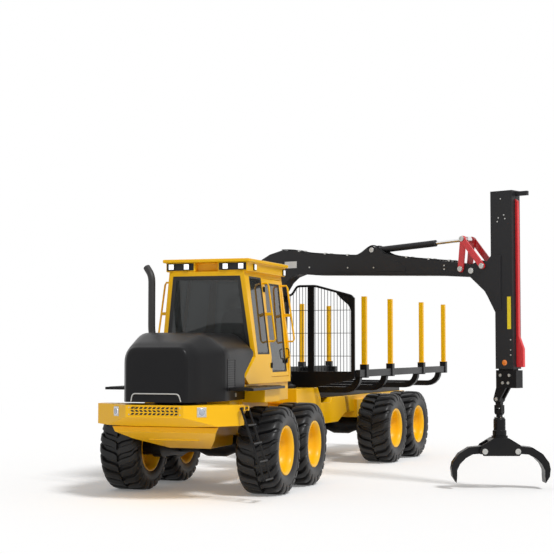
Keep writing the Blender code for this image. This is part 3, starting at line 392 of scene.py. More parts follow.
def lugs(side):
    """One row of tyre lugs: a section carried along the crest curve from the middle to the
    side wall, its angle lagging ever more slowly along the way, and copied round."""
    crest = through(LUG_CREST, 3)
    slope = np.gradient(crest, axis=0)
    out = np.stack((-slope[:, 1], slope[:, 0]), -1)
    out /= np.linalg.norm(out, axis=1, keepdims=True)
    share = np.linspace(0.0, 1.0, len(crest))
    depth = LUG_DEPTH * (1.0 - LUG_FADE * share ** 3)
    across, rise = np.array(LUG_SECTION).T
    place = crest[:, None] - out[:, None] * (depth[:, None] * (1.0 - rise))[..., None]
    width = LUG_WIDTH * (1.0 + LUG_SPREAD * share)[:, None] * across
    steps = np.arange(LUGS) + (0.25 if side > 0 else 0.75)
    angle = (steps[:, None, None] * 2.0 * math.pi / LUGS - LUG_LEAD * share[:, None] ** LUG_CURVE
             + width / place[..., 1])
    points = np.empty((LUGS, len(crest), len(across), 3))
    points[..., 0] = side * place[..., 0]
    points[..., 1] = place[..., 1] * np.cos(angle)
    points[..., 2] = place[..., 1] * np.sin(angle)
    return skin(points)


def bolt_ring(count, radius, low, high, size, axis=0, centre=(0.0, 0.0, 0.0)):
    """Hexagonal heads on a circle about an axis, from low to high along it."""
    turn = np.arange(count) * 2.0 * math.pi / count
    corner = np.arange(6) * math.pi / 3
    points = np.empty((count, 2, 6, 3))
    points[..., axis] = np.array((low, high))[None, :, None]
    points[..., (axis + 1) % 3] = (radius * np.cos(turn)[:, None] + size * np.cos(corner))[:, None]
    points[..., (axis + 2) % 3] = (radius * np.sin(turn)[:, None] + size * np.sin(corner))[:, None]
    return skin(points + np.asarray(centre))


carcass = through(CARCASS, 3)
tyre_section = np.vstack((carcass[::-1] * (1, -1), carcass[1:]))
for name in [node for node in nodes if node.startswith("wheel_")]:
    hub = joints[name + "_spin"]
    wheel_board = board(hub["pos_m"], hub["axis"])
    side = 1 if "_left_" in name else -1
    tyre = make(name.replace("wheel", "tyre"),
                [turned(tyre_section, 72, closed=True), lugs(1), lugs(-1)], wheel_board,
                tyre_rubber, name)
    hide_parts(name)
    rim = np.array(RIM) * (1, side)
    make(name.replace("wheel", "rim"), [turned(rim, 48)], wheel_board, yellow_paint, name,
         sharp=50.0)
    nuts = [bolt_ring(HUB_NUTS, NUT_CIRCLE, side * 0.08, side * 0.108, 0.016),
            bolt_ring(CAP_BOLTS, CAP_CIRCLE, side * 0.125, side * 0.138, 0.011)]
    make(name.replace("wheel", "nuts"), nuts, wheel_board, zinc, name)

# ------------------------------------------------------------------ frames, axles, cab shell
# The welded steel pieces keep the shapes of the frame. Each is a closed shell whose hard
# corners are eased as a plate's are by grinding, then painted yellow, black or charcoal.
MACHINE = board(hinge, (1.0, 0.0, 0.0))
FRONT = board(hinge, joints["wheel_front_left_leading_spin"]["axis"])

black_paint = coated("satin black paint", BLACK, 0.34, dusting=0.06, mottle=0.2,
                     Specular_IOR_Level=0.18)
charcoal_paint = coated("satin charcoal paint", (0.020, 0.020, 0.022), 0.40, dusting=0.06,
                        mottle=0.2, Specular_IOR_Level=0.22)
red_paint = coated("gloss red paint", (0.72, 0.022, 0.028), 0.30, dusting=0.10,
                   Coat_Weight=0.3, Coat_Roughness=0.1)
cast_iron = coated("cast iron", (0.06, 0.06, 0.062), 0.6, grain=90.0, dusting=0.5, bump=0.4,
                   depth=0.001, Metallic=0.4)
hard_chrome = coated("hard chrome", (0.80, 0.80, 0.81), 0.09, grain=300.0, dusting=0.02,
                     mottle=0.04, bump=0.03, Metallic=1.0)
STAKE_PAINT_Z = 1.925        # stakes are yellow above their black sockets
DECK_PAINT_Z = 1.597         # platforms are black over their yellow tanks
bunk_paint = parted(coated("bunk paint", YELLOW, 0.36, dusting=0.12, mottle=0.06,
                           Specular_IOR_Level=0.2), BLACK,
                    STAKE_PAINT_Z)
platform_paint = parted(coated("platform paint", BLACK, 0.36, dusting=0.12, mottle=0.15,
                               Specular_IOR_Level=0.2), YELLOW,
                        DECK_PAINT_Z)


def eased(node, material, slot, bevel):
    """A frame node's own shape as a closed piece: its loose triangles are merged, faces
    that lie in one plane are joined, and its edges are eased."""
    mesh = nodes[node].data.copy()
    mesh.name = node + "_body"
    work = bmesh.new()
    work.from_mesh(mesh)
    bmesh.ops.remove_doubles(work, verts=work.verts[:], dist=0.00005)
    bmesh.ops.dissolve_limit(work, angle_limit=math.radians(1.0), verts=work.verts[:],
                             edges=work.edges[:])
    work.to_mesh(mesh)
    work.free()
    piece = finished(node + "_body", mesh, material, body_of(nodes[node])[0], bevel)
    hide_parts(node)
    return piece


EASED = {
    # node: (material, slot, bevel)
    "front_frame": (yellow_paint, "yellow", 0.008),
    "bumper": (yellow_paint, "yellow", 0.010),
    "rear_frame": (yellow_paint, "yellow", 0.010),
    "cab": (yellow_paint, "yellow", 0.006),
    "door": (yellow_paint, "yellow", 0.005),
    "roof": (yellow_paint, "yellow", 0.014),
    "engine": (cast_iron, "iron", 0.01),
    "platform_left": (platform_paint, "charcoal", 0.006),
    "platform_right": (platform_paint, "charcoal", 0.006),
    "ladder": (black_paint, "black", 0.003),
    "load_bunk": (bunk_paint, "black", 0.006),
    "crane_base": (black_paint, "black", 0.008),
    "pillar": (charcoal_paint, "charcoal", 0.008),
    "main_boom": (charcoal_paint, "charcoal", 0.008),
    "lift_barrel": (charcoal_paint, "charcoal", 0.004),
    "fold_barrel": (charcoal_paint, "charcoal", 0.004),
    "lift_rod": (hard_chrome, "chrome", 0.003),
    "fold_rod": (hard_chrome, "chrome", 0.003),
    "lower_link": (red_paint, "red", 0.006),
    "upper_link": (red_paint, "red", 0.006),
    "stick": (charcoal_paint, "charcoal", 0.008),
    "hose_guard": (red_paint, "red", 0.008),
    "extension": (black_paint, "black", 0.006),
    "hanger": (black_paint, "black", 0.005),
    "rotator": (black_paint, "black", 0.005),
    "grapple_frame": (black_paint, "black", 0.006),
    "claw_left": (black_paint, "black", 0.012),
    "claw_right": (black_paint, "black", 0.012),
}
for end_name in ("front", "rear"):
    EASED[end_name + "_axle"] = (black_paint, "black", 0.01)
    for side_name in ("left", "right"):
        EASED["bogie_{}_{}".format(end_name, side_name)] = (black_paint, "black", 0.01)
for node, (material, slot, bevel) in EASED.items():
    eased(node, material, slot, bevel)


# ------------------------------------------------------------------ bumper
# A folded and welded steel plate in front, with a perforated plate over the winch bay, two
# round lamps set in square pockets, and bolted end caps.
def plate(outline, low, high, axis):
    """A flat outline in the two other axes, drawn out along one axis from low to high."""
    outline = np.asarray(outline, float)
    points = np.empty((2, len(outline), 3))
    others = [i for i in range(3) if i != axis]
    points[..., axis] = np.array((low, high))[:, None]
    points[..., others[0]] = outline[:, 0]
    points[..., others[1]] = outline[:, 1]
    return skin(points)


def block(xs, ys, zs):
    """A block between two values on each axis."""
    return plate([(xs[0], ys[0]), (xs[1], ys[0]), (xs[1], ys[1]), (xs[0], ys[1])],
                 zs[0], zs[1], 2)


def moved(shape, turn, shift):
    """A shape turned about the upright axis by some degrees, then shifted."""
    points, faces = shape
    c, s = math.cos(math.radians(turn)), math.sin(math.radians(turn))
    return points @ np.array(((c, s, 0.0), (-s, c, 0.0), (0.0, 0.0, 1.0))) + shift, faces


# Painted shade: near-black sheets that stand for the shade inside recesses, in the winch bay behind
# the grille and in the band under the roof's front lip.
painted_shade_black = coated("painted shade black", (0.004, 0.004, 0.004), 0.7, dusting=0.05, bump=0.05)
BUMPER_FACE = -4.98
GRILLE_HALF = 0.375
GRILLE_Z = (1.262, 1.392)
GRILLE_COLUMNS, GRILLE_ROWS = 11, 3
GRILLE_LEAN = 0.35           # of a cell's width, each row leaning the other way
LAMP_X, LAMP_Z = 0.67, 1.312
WING_START = (0.45, -4.98)
WING_END = (0.86, -4.69)


def perforated():
    """A pierced plate as a table of cells: each is a closed frame of four loops (outer and
    inner edge, front and back) whose corners lean with the row."""
    column, row = np.meshgrid(np.arange(GRILLE_COLUMNS), np.arange(GRILLE_ROWS), indexing="ij")
    width = 2 * GRILLE_HALF / GRILLE_COLUMNS
    height = (GRILLE_Z[1] - GRILLE_Z[0]) / GRILLE_ROWS
    middle_x = -GRILLE_HALF + width * (column.ravel() + 0.5)
    middle_z = GRILLE_Z[0] + height * (row.ravel() + 0.5)
    lean = np.where(row.ravel() % 2 == 0, GRILLE_LEAN, -GRILLE_LEAN) * width
    corner = np.array(((-1, -1), (1, -1), (1, 1), (-1, 1)))
    sizes = np.array((1.0, 0.66, 0.66, 1.0))
    depths = np.array((0.0, 0.0, 0.003, 0.003)) + BUMPER_FACE - 0.0035
    points = np.empty((len(middle_x), 4, 4, 3))
    inner = (sizes < 1.0)[None, :, None]
    points[..., 0] = (middle_x[:, None, None] + corner[:, 0] * (width / 2 * sizes)[:, None]
                      + inner * lean[:, None, None] * corner[:, 1] * 0.5)
    points[..., 1] = depths[None, :, None]
    points[..., 2] = middle_z[:, None, None] + corner[:, 1] * (height / 2 * sizes)[:, None]
    return skin(points, round_rows=True)


make("bumper_grille", [perforated()], FRONT, yellow_paint, "front_frame")
# A near-black sheet behind the grille: painted shade of the winch bay.
make("bumper_bay_painted_shade", [block((-GRILLE_HALF, GRILLE_HALF), (BUMPER_FACE - 0.001, BUMPER_FACE + 0.01),
                          GRILLE_Z)], FRONT, painted_shade_black, "front_frame")


def lamp_glass():
    """A moulded lens over a grey-blue reflector."""
    material = coated("lamp lens", (0.40, 0.43, 0.49), 0.12, grain=180.0, dusting=0.0,
                      mottle=0.1, bump=0.5, depth=0.001, Coat_Weight=0.8)
    return material


def glowing():
    """A lit lamp: white."""
    material = coated("lit lamp", (0.95, 0.96, 1.0), 0.2, dusting=0.0, mottle=0.05,
                      Emission_Strength=0.55)
    material.node_tree.nodes["Principled BSDF"].inputs["Emission Color"].default_value = (
        0.92, 0.96, 1.0, 1.0)
    return material


clear_lens = lamp_glass()
lit_lamp = glowing()
way = np.subtract(WING_END, WING_START)
wing_turn = math.degrees(math.atan2(way[1], way[0]))
lamp_share = (LAMP_X - WING_START[0]) / way[0]
lamp_y = WING_START[1] + way[1] * lamp_share
pockets, lenses, bezels = [], [], []
for side in (-1, 1):
    spot = np.array((side * LAMP_X, lamp_y, LAMP_Z))
    heading = side * wing_turn
    pockets.append(moved(block((-0.07, 0.07), (-0.004, 0.02), (-0.07, 0.07)), heading, spot))
    lens = ((0.001, -0.018), (0.025, -0.016), (0.043, -0.010), (0.050, -0.002), (0.050, 0.01),
            (0.001, 0.01))
    lenses.append(moved(turned(lens, 28, axis=1), heading, spot))
    bezel = ((0.049, -0.012), (0.056, -0.012), (0.060, -0.004), (0.060, 0.01), (0.049, 0.01))
    bezels.append(moved(turned(bezel, 28, axis=1, closed=True), heading, spot))
make("bumper_lamp_pockets", pockets, FRONT, zinc, "front_frame", bevel=0.003)
make("bumper_lamp_lenses", lenses, FRONT, clear_lens, "front_frame")
make("bumper_lamp_bezels", bezels, FRONT, hard_chrome, "front_frame")
straps = []
for side in (-1, 1):
    for z in (1.275, 1.375):
        straps.append(bolt_ring(1, 0.0, BUMPER_FACE - 0.004, BUMPER_FACE + 0.005, 0.010, axis=1,
                                centre=(side * (GRILLE_HALF + 0.022), 0.0, z)))
make("bumper_bolts", straps, FRONT, zinc, "front_frame")


# ------------------------------------------------------------------ hood and cowl
# The engine hood is a moulded skin with rounded corners that tips forward, and behind it
# the fixed cowl of the same section runs back over the cab's nose. Both are satin black.
def bent(points, radius, steps=5):
    """A path with each corner rounded: the corner between two points that lie radius before
    and after it becomes a parabola. Paths may be stacked in the dimensions before."""
    points = np.asarray(points, float)
    corner = points[..., 1:-1, :]
    back = points[..., :-2, :] - corner
    on = points[..., 2:, :] - corner
    back_length = np.linalg.norm(back, axis=-1, keepdims=True)
    on_length = np.linalg.norm(on, axis=-1, keepdims=True)
    first = corner + back / back_length * np.minimum(radius, back_length * 0.45)
    last = corner + on / on_length * np.minimum(radius, on_length * 0.45)
    t = np.linspace(0.0, 1.0, steps)[:, None]
    arc = ((1 - t) ** 2 * first[..., None, :] + 2 * t * (1 - t) * corner[..., None, :]
           + t ** 2 * last[..., None, :])
    arc = arc.reshape(points.shape[:-2] + (-1, points.shape[-1]))
    return np.concatenate((points[..., :1, :], arc, points[..., -1:, :]), axis=-2)


def rod(path, radius, count=10, closed=False, ends=True):
    """A round bar along a path: circles set square to the path, whose first way lies in the
    direction in which the whole path is thinnest."""
    path = np.asarray(path, float)
    if closed:
        along = np.roll(path, -1, axis=0) - np.roll(path, 1, axis=0)
    else:
        along = np.gradient(path, axis=0)
    along /= np.linalg.norm(along, axis=1, keepdims=True)
    thin = np.linalg.svd(path - path.mean(0))[2][2]
    side = np.cross(along, thin)
    side /= np.linalg.norm(side, axis=1, keepdims=True)
    up = np.cross(side, along)
    angle = np.arange(count) * 2.0 * math.pi / count
    radius = np.broadcast_to(radius, len(path))[:, None, None]
    points = path[:, None] + radius * (side[:, None] * np.cos(angle)[:, None]
                                       + up[:, None] * np.sin(angle)[:, None])
    return skin(points, round_rows=closed, caps=ends)


HOOD_FLOOR = 1.45
HOOD_SKIN = 0.028
CORNER = 0.11                # rounding of the hood's corners along its length
NOSE_EDGE = 0.06             # rounding round its front face
HOOD_FRONT, HOOD_BACK = -4.93, -3.746
COWL_FRONT, COWL_BACK = -3.745, -2.975
# Section of hood and cowl as (y, half width, half width of the top, shoulder z, top z)
HOOD_SECTIONS = np.array(((HOOD_FRONT, 0.50, 0.42, 2.12, 2.25), (-4.30, 0.77, 0.50, 2.17, 2.46),
                          (-4.20, 0.80, 0.50, 2.19, 2.46), (COWL_BACK, 0.80, 0.50, 2.19, 2.46)))


def hood_rows(y, inset, floor):
    """Hood sections at some places along it: floor, shoulder, top, shoulder, floor, with
    the corners rounded."""
    half, half_top, shoulder, top = (np.interp(y, HOOD_SECTIONS[:, 0], column)
                                     for column in HOOD_SECTIONS[:, 1:].T)
    half, half_top = half - inset, half_top - 0.4 * inset
    shoulder, top = shoulder - 0.4 * inset, top - inset
    x = np.stack((-half, -half, -half_top, half_top, half, half), -1)
    z = np.stack((floor, shoulder, top, top, shoulder, floor), -1)
    return bent(np.stack((x, np.broadcast_to(y[:, None], x.shape), z), -1), CORNER)


def hood_shell(y, front_closed, floor):
    """A closed skin between an outer and an inner row of sections. A closed front rounds
    over from the first section, then runs flat to the middle of its foot."""
    sides = []
    for inset in (0.0, HOOD_SKIN):
        rows = hood_rows(y, inset, floor)
        if front_closed:
            angle = np.linspace(0.0, math.pi / 2, 5)
            share = np.concatenate(((0.0, 0.4), 1.0 - NOSE_EDGE / 0.5 * (1.0 - np.sin(angle))))
            sink = np.concatenate(((0.0, 0.0), NOSE_EDGE * (1.0 - np.cos(angle))))
            nose = np.repeat(rows[:1], len(share), axis=0)
            nose[..., 0] *= share[:, None]
            nose[..., 2] = HOOD_FLOOR + (nose[..., 2] - HOOD_FLOOR) * share[:, None]
            nose[..., 1] = y[0] + sink[:, None] + inset
            rows[..., 1] += np.where(np.arange(len(y)) == 0, NOSE_EDGE, 0.0)[:, None]
            rows = np.concatenate((nose, rows[1:]))
        sides.append(rows)
    return skin(np.concatenate((sides[0], sides[1][:, ::-1]), axis=1))


hood_y = np.concatenate(((HOOD_FRONT,), np.linspace(-4.80, -4.30, 5),
                         (-4.26, -4.23, -4.20, -4.0, HOOD_BACK)))
hood_skin = make("hood_skin", [hood_shell(hood_y, True, np.full(len(hood_y), HOOD_FLOOR))],
                 FRONT, black_paint, "hood", sharp=50.0)
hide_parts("hood")
COWL_STEP = -3.37            # behind this the cowl's foot rises over the cab's nose
cowl_y = np.array((COWL_FRONT, -3.50, COWL_STEP - 0.001, COWL_STEP, -3.2, -3.05, COWL_BACK))
cowl_foot = np.where(cowl_y < COWL_STEP, HOOD_FLOOR,
                     np.interp(cowl_y, (-3.365, -2.90), (1.84, 2.17)))
bulkhead_row = hood_rows(np.array((COWL_BACK,)), HOOD_SKIN * 0.9, np.array((2.12,)))[0]
bulkhead = plate(bulkhead_row[:, (0, 2)], COWL_BACK - 0.03, COWL_BACK - 0.002, 1)
cowl_skin = make("cowl_skin", [hood_shell(cowl_y, False, cowl_foot), bulkhead], FRONT,
                 black_paint, "front_frame", sharp=50.0)
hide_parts("cowl")

BAR_FOOT, BAR_HALF, BAR_RISE = 1.46, 0.36, 0.115
front_bar = bent([(-BAR_HALF - 0.03, -4.925, BAR_FOOT), (-BAR_HALF, -4.948, BAR_FOOT + BAR_RISE),
                  (BAR_HALF, -4.948, BAR_FOOT + BAR_RISE), (BAR_HALF + 0.03, -4.925, BAR_FOOT)],
                 0.05)
make("hood_lift_bar", [rod(front_bar, 0.010, 8)], FRONT, zinc, "hood")

HOOD_SIDE_X = 0.80
VENT_Y = (-4.12, -3.80)
VENT_Z = (1.60, 2.06)
VENT_SLATS = 13
louvres, frames = [], []
for side in (-1, 1):
    x = side * HOOD_SIDE_X
    across = sorted((x, x + side * 0.006))
    frames += [block(across, VENT_Y, (z - 0.008, z + 0.008)) for z in VENT_Z]
    frames += [block(across, (y - 0.008, y + 0.008), VENT_Z) for y in VENT_Y]
    for z in np.linspace(VENT_Z[0] + 0.03, VENT_Z[1] - 0.03, VENT_SLATS):
        slat = ((x - side * 0.004, z - 0.010), (x + side * 0.005, z - 0.012),
                (x + side * 0.005, z - 0.006), (x - side * 0.004, z + 0.012))
        louvres.append(plate(slat, VENT_Y[0] + 0.01, VENT_Y[1] - 0.01, 1))
make("hood_vent_frames", frames, FRONT, black_paint, "hood", bevel=0.002)
make("hood_louvres", louvres, FRONT, charcoal_paint, "hood")
catches = []
for side in (-1, 1):
    x = side * HOOD_SIDE_X
    catches.append(block(sorted((x - side * 0.004, x + side * 0.014)), (-3.80, -3.765),
                         (1.50, 1.56)))
make("hood_catches", catches, FRONT, zinc, "hood", bevel=0.003)

# ------------------------------------------------------------------ exhaust
# One bent steel pipe, painted heat-proof black, that leaves the cowl's right shoulder and
# ends in a mouth that is bent forward and away from the cab.
STACK_X, STACK_Y = -0.73, -3.42
STACK_RADIUS = 0.056
PIPE_WALL = 0.004
stack = bent([(-0.645, STACK_Y, 2.30), (-0.70, STACK_Y, 2.37), (STACK_X, STACK_Y, 2.50),
              (STACK_X, STACK_Y, 3.36), (STACK_X - 0.115, STACK_Y + 0.06, 3.50)], 0.11, 9)
outside = rod(stack, STACK_RADIUS, 24, ends=False)[0].reshape(-1, 24, 3)
inside = rod(stack, STACK_RADIUS - PIPE_WALL, 24, ends=False)[0].reshape(-1, 24, 3)
pipe = skin(np.concatenate((outside, inside[::-1])), round_rows=True)
soot_black = coated("heat proof black", (0.012, 0.011, 0.011), 0.5, grain=150.0, dusting=0.3,
                    bump=0.3)
stack_piece = make("exhaust_pipe", [pipe], FRONT, soot_black, "front_frame")
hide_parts("exhaust")

# ------------------------------------------------------------------ cab glass and seals
# Flat tinted safety glass is bonded into black rubber seals that hide each opening's edge.
CAB_MIDDLE = np.array((0.0, -2.0, 2.7))
PANES = {
    # node: (body, width of the black band round it)
    "windscreen": ("front_frame", 0.060),
    "rear_glass": ("front_frame", 0.040),
    "left_front_glass": ("front_frame", 0.030),
    "right_front_glass": ("front_frame", 0.030),
    "right_rear_glass": ("front_frame", 0.035),
    "door_glass": ("door", 0.030),
}


def tinted():
    """Dark neutral glass with a little uneven film on it."""
    material = coated("tinted safety glass", (0.13, 0.14, 0.14), 0.03, grain=9.0, dusting=0.05,
                      mottle=0.10, bump=0.02, Transmission_Weight=0.82, IOR=1.45)
    return material


def pane_corners(node):
    """A pane's four outer corners in turn, in the front frame's drawing, and its way out:
    the way in which its corners spread least, turned away from the cab's middle."""
    origin, ways = FRONT
    count = len(nodes[node].data.vertices)
    points = np.empty(count * 3)
    nodes[node].data.vertices.foreach_get("co", points)
    corners = np.unique(np.round((points.reshape(-1, 3) - origin) @ ways.T, 4), axis=0)
    middle = corners.mean(0)
    spread = np.linalg.svd(corners - middle)[2]
    out = spread[2] * np.sign(spread[2] @ (middle - CAB_MIDDLE))
    outer = corners[(corners - middle) @ out > 0]
    flat = (outer - middle) @ spread[:2].T
    return outer[np.argsort(np.arctan2(flat[:, 1], flat[:, 0]))], out


def loop(corners, margin, radius=0.035):
    """A closed path inside four corners: each side moved in by a margin, corners rounded."""
    ahead = np.roll(corners, -1, axis=0) - corners
    ahead /= np.linalg.norm(ahead, axis=1, keepdims=True)
    behind = -np.roll(ahead, 1, axis=0)
    reach = margin / np.linalg.norm(np.cross(ahead, behind), axis=1, keepdims=True)
    inner = corners + (ahead + behind) * reach
    ring = np.vstack((inner[-1:], inner, inner[:1]))
    return bent(ring, radius)[1:-1]


glass = tinted()
seal_rubber = coated("seal rubber", (0.010, 0.010, 0.010), 0.5, grain=200.0, dusting=0.05)
for node, (body, width) in PANES.items():
    nodes[node].data.materials.clear()
    nodes[node].data.materials.append(glass)
    corners, out = pane_corners(node)
    # Loops of a flat band: outer edge and inner edge, on the glass and proud of it
    band = [loop(corners, margin) + out * rise
            for margin, rise in ((0.001, 0.0005), (width, 0.0005), (width - 0.004, 0.005),
                                 (0.001, 0.0115))]
    make(node + "_seal", [skin(np.array(band), round_rows=True)], FRONT, seal_rubber, body)

# ------------------------------------------------------------------ cab fittings
# Bolted to the cab: lamp boxes under the roof's front lip, near-black as painted shade,
# lamps on both sides, stays that brace the grab rails, the door's handle and hinges.
BAND_FRONT = -2.95
BAND_HALF = 0.69
LAMP_BOX_X = (0.215, 0.672)
LAMP_BOX_Z = (3.462, 3.576)
boxes, housings, faces = [], [], []
for side in (-1, 1):
    boxes.append(block(sorted(side * np.array(LAMP_BOX_X)), (BAND_FRONT - 0.006, BAND_FRONT + 0.01),
                       LAMP_BOX_Z))
LAMP_PLACES = [(x, BAND_FRONT - 0.006, 3.519, 0.0) for x in (-0.59, -0.33, 0.33, 0.59)]
LAMP_PLACES += [(side * (BAND_HALF + 0.002), y, z, side * 90.0) for side in (-1, 1)
                for y, z in ((-2.62, 3.515), (-1.14, 3.500))]
LAMP_SIZE = 0.050
for x, y, z, heading in LAMP_PLACES:
    spot = np.array((x, y, z))
    housings.append(moved(block((-LAMP_SIZE, LAMP_SIZE), (-0.020, 0.004), (-LAMP_SIZE, LAMP_SIZE)),
                          heading, spot))
    faces.append(moved(block((-LAMP_SIZE + 0.008, LAMP_SIZE - 0.008), (-0.026, -0.015),
                             (-LAMP_SIZE + 0.008, LAMP_SIZE - 0.008)), heading, spot))
# The lamp boxes are near-black sheets: painted shade in the recess under the roof's front lip.
make("roof_lamp_boxes_painted_shade", boxes, FRONT, painted_shade_black, "front_frame", bevel=0.003)
make("roof_lamp_housings", housings, FRONT, black_paint, "front_frame", bevel=0.005)
make("roof_lamp_faces", faces, FRONT, lit_lamp, "front_frame", bevel=0.005)


def cab_half(z):
    """Half the cab's width at a height: upright to the waist, then leaning in."""
    return np.interp(z, (2.09, 3.44), (0.80, 0.63))


stays = []
RAIL_STAY_Z = 2.78
for side, y in ((1, -2.12), (1, -1.12), (-1, -2.12), (-1, -2.82)):
    wall = cab_half(RAIL_STAY_Z)
    stays.append(block(sorted((side * wall, side * (wall + 0.115))), (y - 0.018, y + 0.018),
                       (RAIL_STAY_Z - 0.025, RAIL_STAY_Z + 0.025)))
make("grab_rail_stays", stays, FRONT, yellow_paint, "front_frame", bevel=0.006)
handle_x = cab_half(2.2)
grip = bent([(handle_x - 0.01, -1.235, 2.06), (handle_x + 0.040, -1.235, 2.065),
             (handle_x + 0.030, -1.235, 2.215), (handle_x - 0.02, -1.235, 2.22)], 0.02)
lock = block((handle_x - 0.01, handle_x + 0.012), (-1.26, -1.21), (1.98, 2.05))
make("door_handle", [rod(grip, 0.009, 8), lock], FRONT, black_paint, "door",
     bevel=0.002)
hinges = []
for z in (1.95, 3.18):
    hinges.append(turned(((0.013, z - 0.045), (0.013, z + 0.045)), 14, axis=2,
                         centre=(cab_half(z) + 0.012, -2.085, 0.0)))
    hinges.append(block((cab_half(z) - 0.002, cab_half(z) + 0.008), (-2.13, -2.085),
                        (z - 0.04, z + 0.04)))
make("door_hinges", hinges, FRONT, black_paint, "front_frame", bevel=0.002)


# ------------------------------------------------------------------ inside the cab
# A sprung seat in woven cloth over foam, two armrests with joysticks, a screen on a stalk
# and a moulded plastic console under the windscreen.
def cushion(middle, size, crown=0.35, lean=0.0, sharp=0.45):
    """A crowned pad: a ball whose sides are pushed out towards a box by a power under one,
    thinner at its edges by the crown, then leaned back by some degrees."""
    across = np.linspace(0.0, 2.0 * math.pi, 48, endpoint=False)
    up = np.linspace(-math.pi / 2, math.pi / 2, 25)[1:-1]

    def squared(value):
        return np.sign(value) * np.abs(value) ** sharp

    x = squared(np.cos(up))[:, None] * squared(np.cos(across))
    y = squared(np.cos(up))[:, None] * squared(np.sin(across))
    z = squared(np.sin(up))[:, None] * (1.0 - crown * (x ** 2 + y ** 2) / 2)
    points = np.stack((x, y, z), -1) * np.asarray(size) / 2
    c, s = math.cos(math.radians(lean)), math.sin(math.radians(lean))
    points = points @ np.array(((1.0, 0.0, 0.0), (0.0, c, -s), (0.0, s, c))).T
    return skin(points + np.asarray(middle))


def woven():
    """Dark seat cloth: a fine over-and-under weave from two crossed waves."""
    material = coated("woven seat cloth", (0.030, 0.031, 0.036), 0.85, grain=240.0,
                      dusting=0.02, mottle=0.3, bump=0.5, depth=0.001, Sheen_Weight=0.3)
    tree = material.node_tree
    place = step(tree, "TexCoord").outputs["Object"]
    warp = step(tree, "TexWave", {"Vector": place, "Scale": 90.0}, bands_direction="X")
    weft = step(tree, "TexWave", {"Vector": place, "Scale": 90.0}, bands_direction="Y")
    both = step(tree, "Math", {0: warp.outputs["Fac"], 1: weft.outputs["Fac"]},
                operation="MULTIPLY")
    bump = next(node for node in tree.nodes if node.type == "BUMP")
    tree.links.new(both.outputs[0], bump.inputs["Height"])
    return material


seat_cloth = woven()
plastic = coated("moulded plastic", (0.020, 0.020, 0.022), 0.55, grain=320.0, dusting=0.05,
                 bump=0.4)
SEAT_Y, FLOOR_Z = -2.0, 1.715
seat = make("seat_cushions",
            [cushion((0.0, SEAT_Y - 0.01, 2.14), (0.50, 0.52, 0.14)),
             cushion((0.0, SEAT_Y + 0.33, 2.52), (0.46, 0.13, 0.66), lean=-10.0, crown=0.1),
             cushion((0.0, SEAT_Y + 0.40, 2.84), (0.26, 0.09, 0.12), lean=-10.0, crown=0.1)],
            FRONT, seat_cloth, "front_frame", sharp=80.0)
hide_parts("seat")
bellows = np.array([(0.16 + 0.012 * (-1) ** fold, FLOOR_Z + 0.002 + 0.034 * fold)
                    for fold in range(11)])
make("seat_base", [turned(bellows, 24, axis=2, centre=(0.0, SEAT_Y, 0.0))], FRONT, plastic,
     "front_frame")
controls = []
for side in (-1, 1):
    controls.append(block(sorted((side * 0.29, side * 0.37)), (SEAT_Y - 0.30, SEAT_Y + 0.12),
                          (2.26, 2.31)))
    controls.append(block(sorted((side * 0.26, side * 0.33)), (SEAT_Y + 0.02, SEAT_Y + 0.08),
                          (2.10, 2.28)))
    stick = turned(((0.020, 2.30), (0.014, 2.34), (0.016, 2.40), (0.021, 2.43), (0.014, 2.45)),
                   12, axis=2, centre=(side * 0.33, SEAT_Y - 0.25, 0.0))
    controls.append(stick)
controls.append(block((-0.50, 0.50), (-2.84, -2.66), (FLOOR_Z + 0.002, 2.02)))
controls.append(block((0.34, 0.37), (-2.64, -2.40), (2.36, 2.52)))
controls.append(rod([(0.355, -2.60, 2.37), (0.36, -2.68, 2.0)], 0.012, 8))
make("cab_controls", controls, FRONT, plastic, "front_frame", bevel=0.008)

# ------------------------------------------------------------------ platforms
# Pressed steel treads with raised bars across them are bolted on the tanks' tops.
TREAD_Z = 1.640
TREAD_X = (0.83, 1.18)
TREAD_Y = (-4.07, -2.63)
TREAD_PITCH = 0.045
treads = []
count = int((TREAD_Y[1] - TREAD_Y[0]) / TREAD_PITCH)
rib_y = TREAD_Y[0] + (np.arange(count) + 0.5) * TREAD_PITCH
corner = np.array(((-1, -1), (1, -1), (1, 1), (-1, 1)))
for side in (-1, 1):
    ribs = np.empty((count, 2, 4, 3))
    shrink = np.array((1.0, 0.75))[None, :, None]
    ribs[..., 0] = side * (sum(TREAD_X) / 2 + corner[:, 0] * (TREAD_X[1] - TREAD_X[0]) / 2 * shrink)
    ribs[..., 1] = rib_y[:, None, None] + corner[:, 1] * 0.011 * shrink
    ribs[..., 2] = np.array((TREAD_Z - 0.002, TREAD_Z + 0.006))[None, :, None]
    treads.append(skin(ribs))
make("platform_treads", treads, FRONT, black_paint, "front_frame")

# ------------------------------------------------------------------ gate
# The headboard behind the crane is a welded frame of black tube with close upright wires,
# tied by three wires across, over a folded sill.
GATE_Y = 1.05
GATE_HALF = 1.30
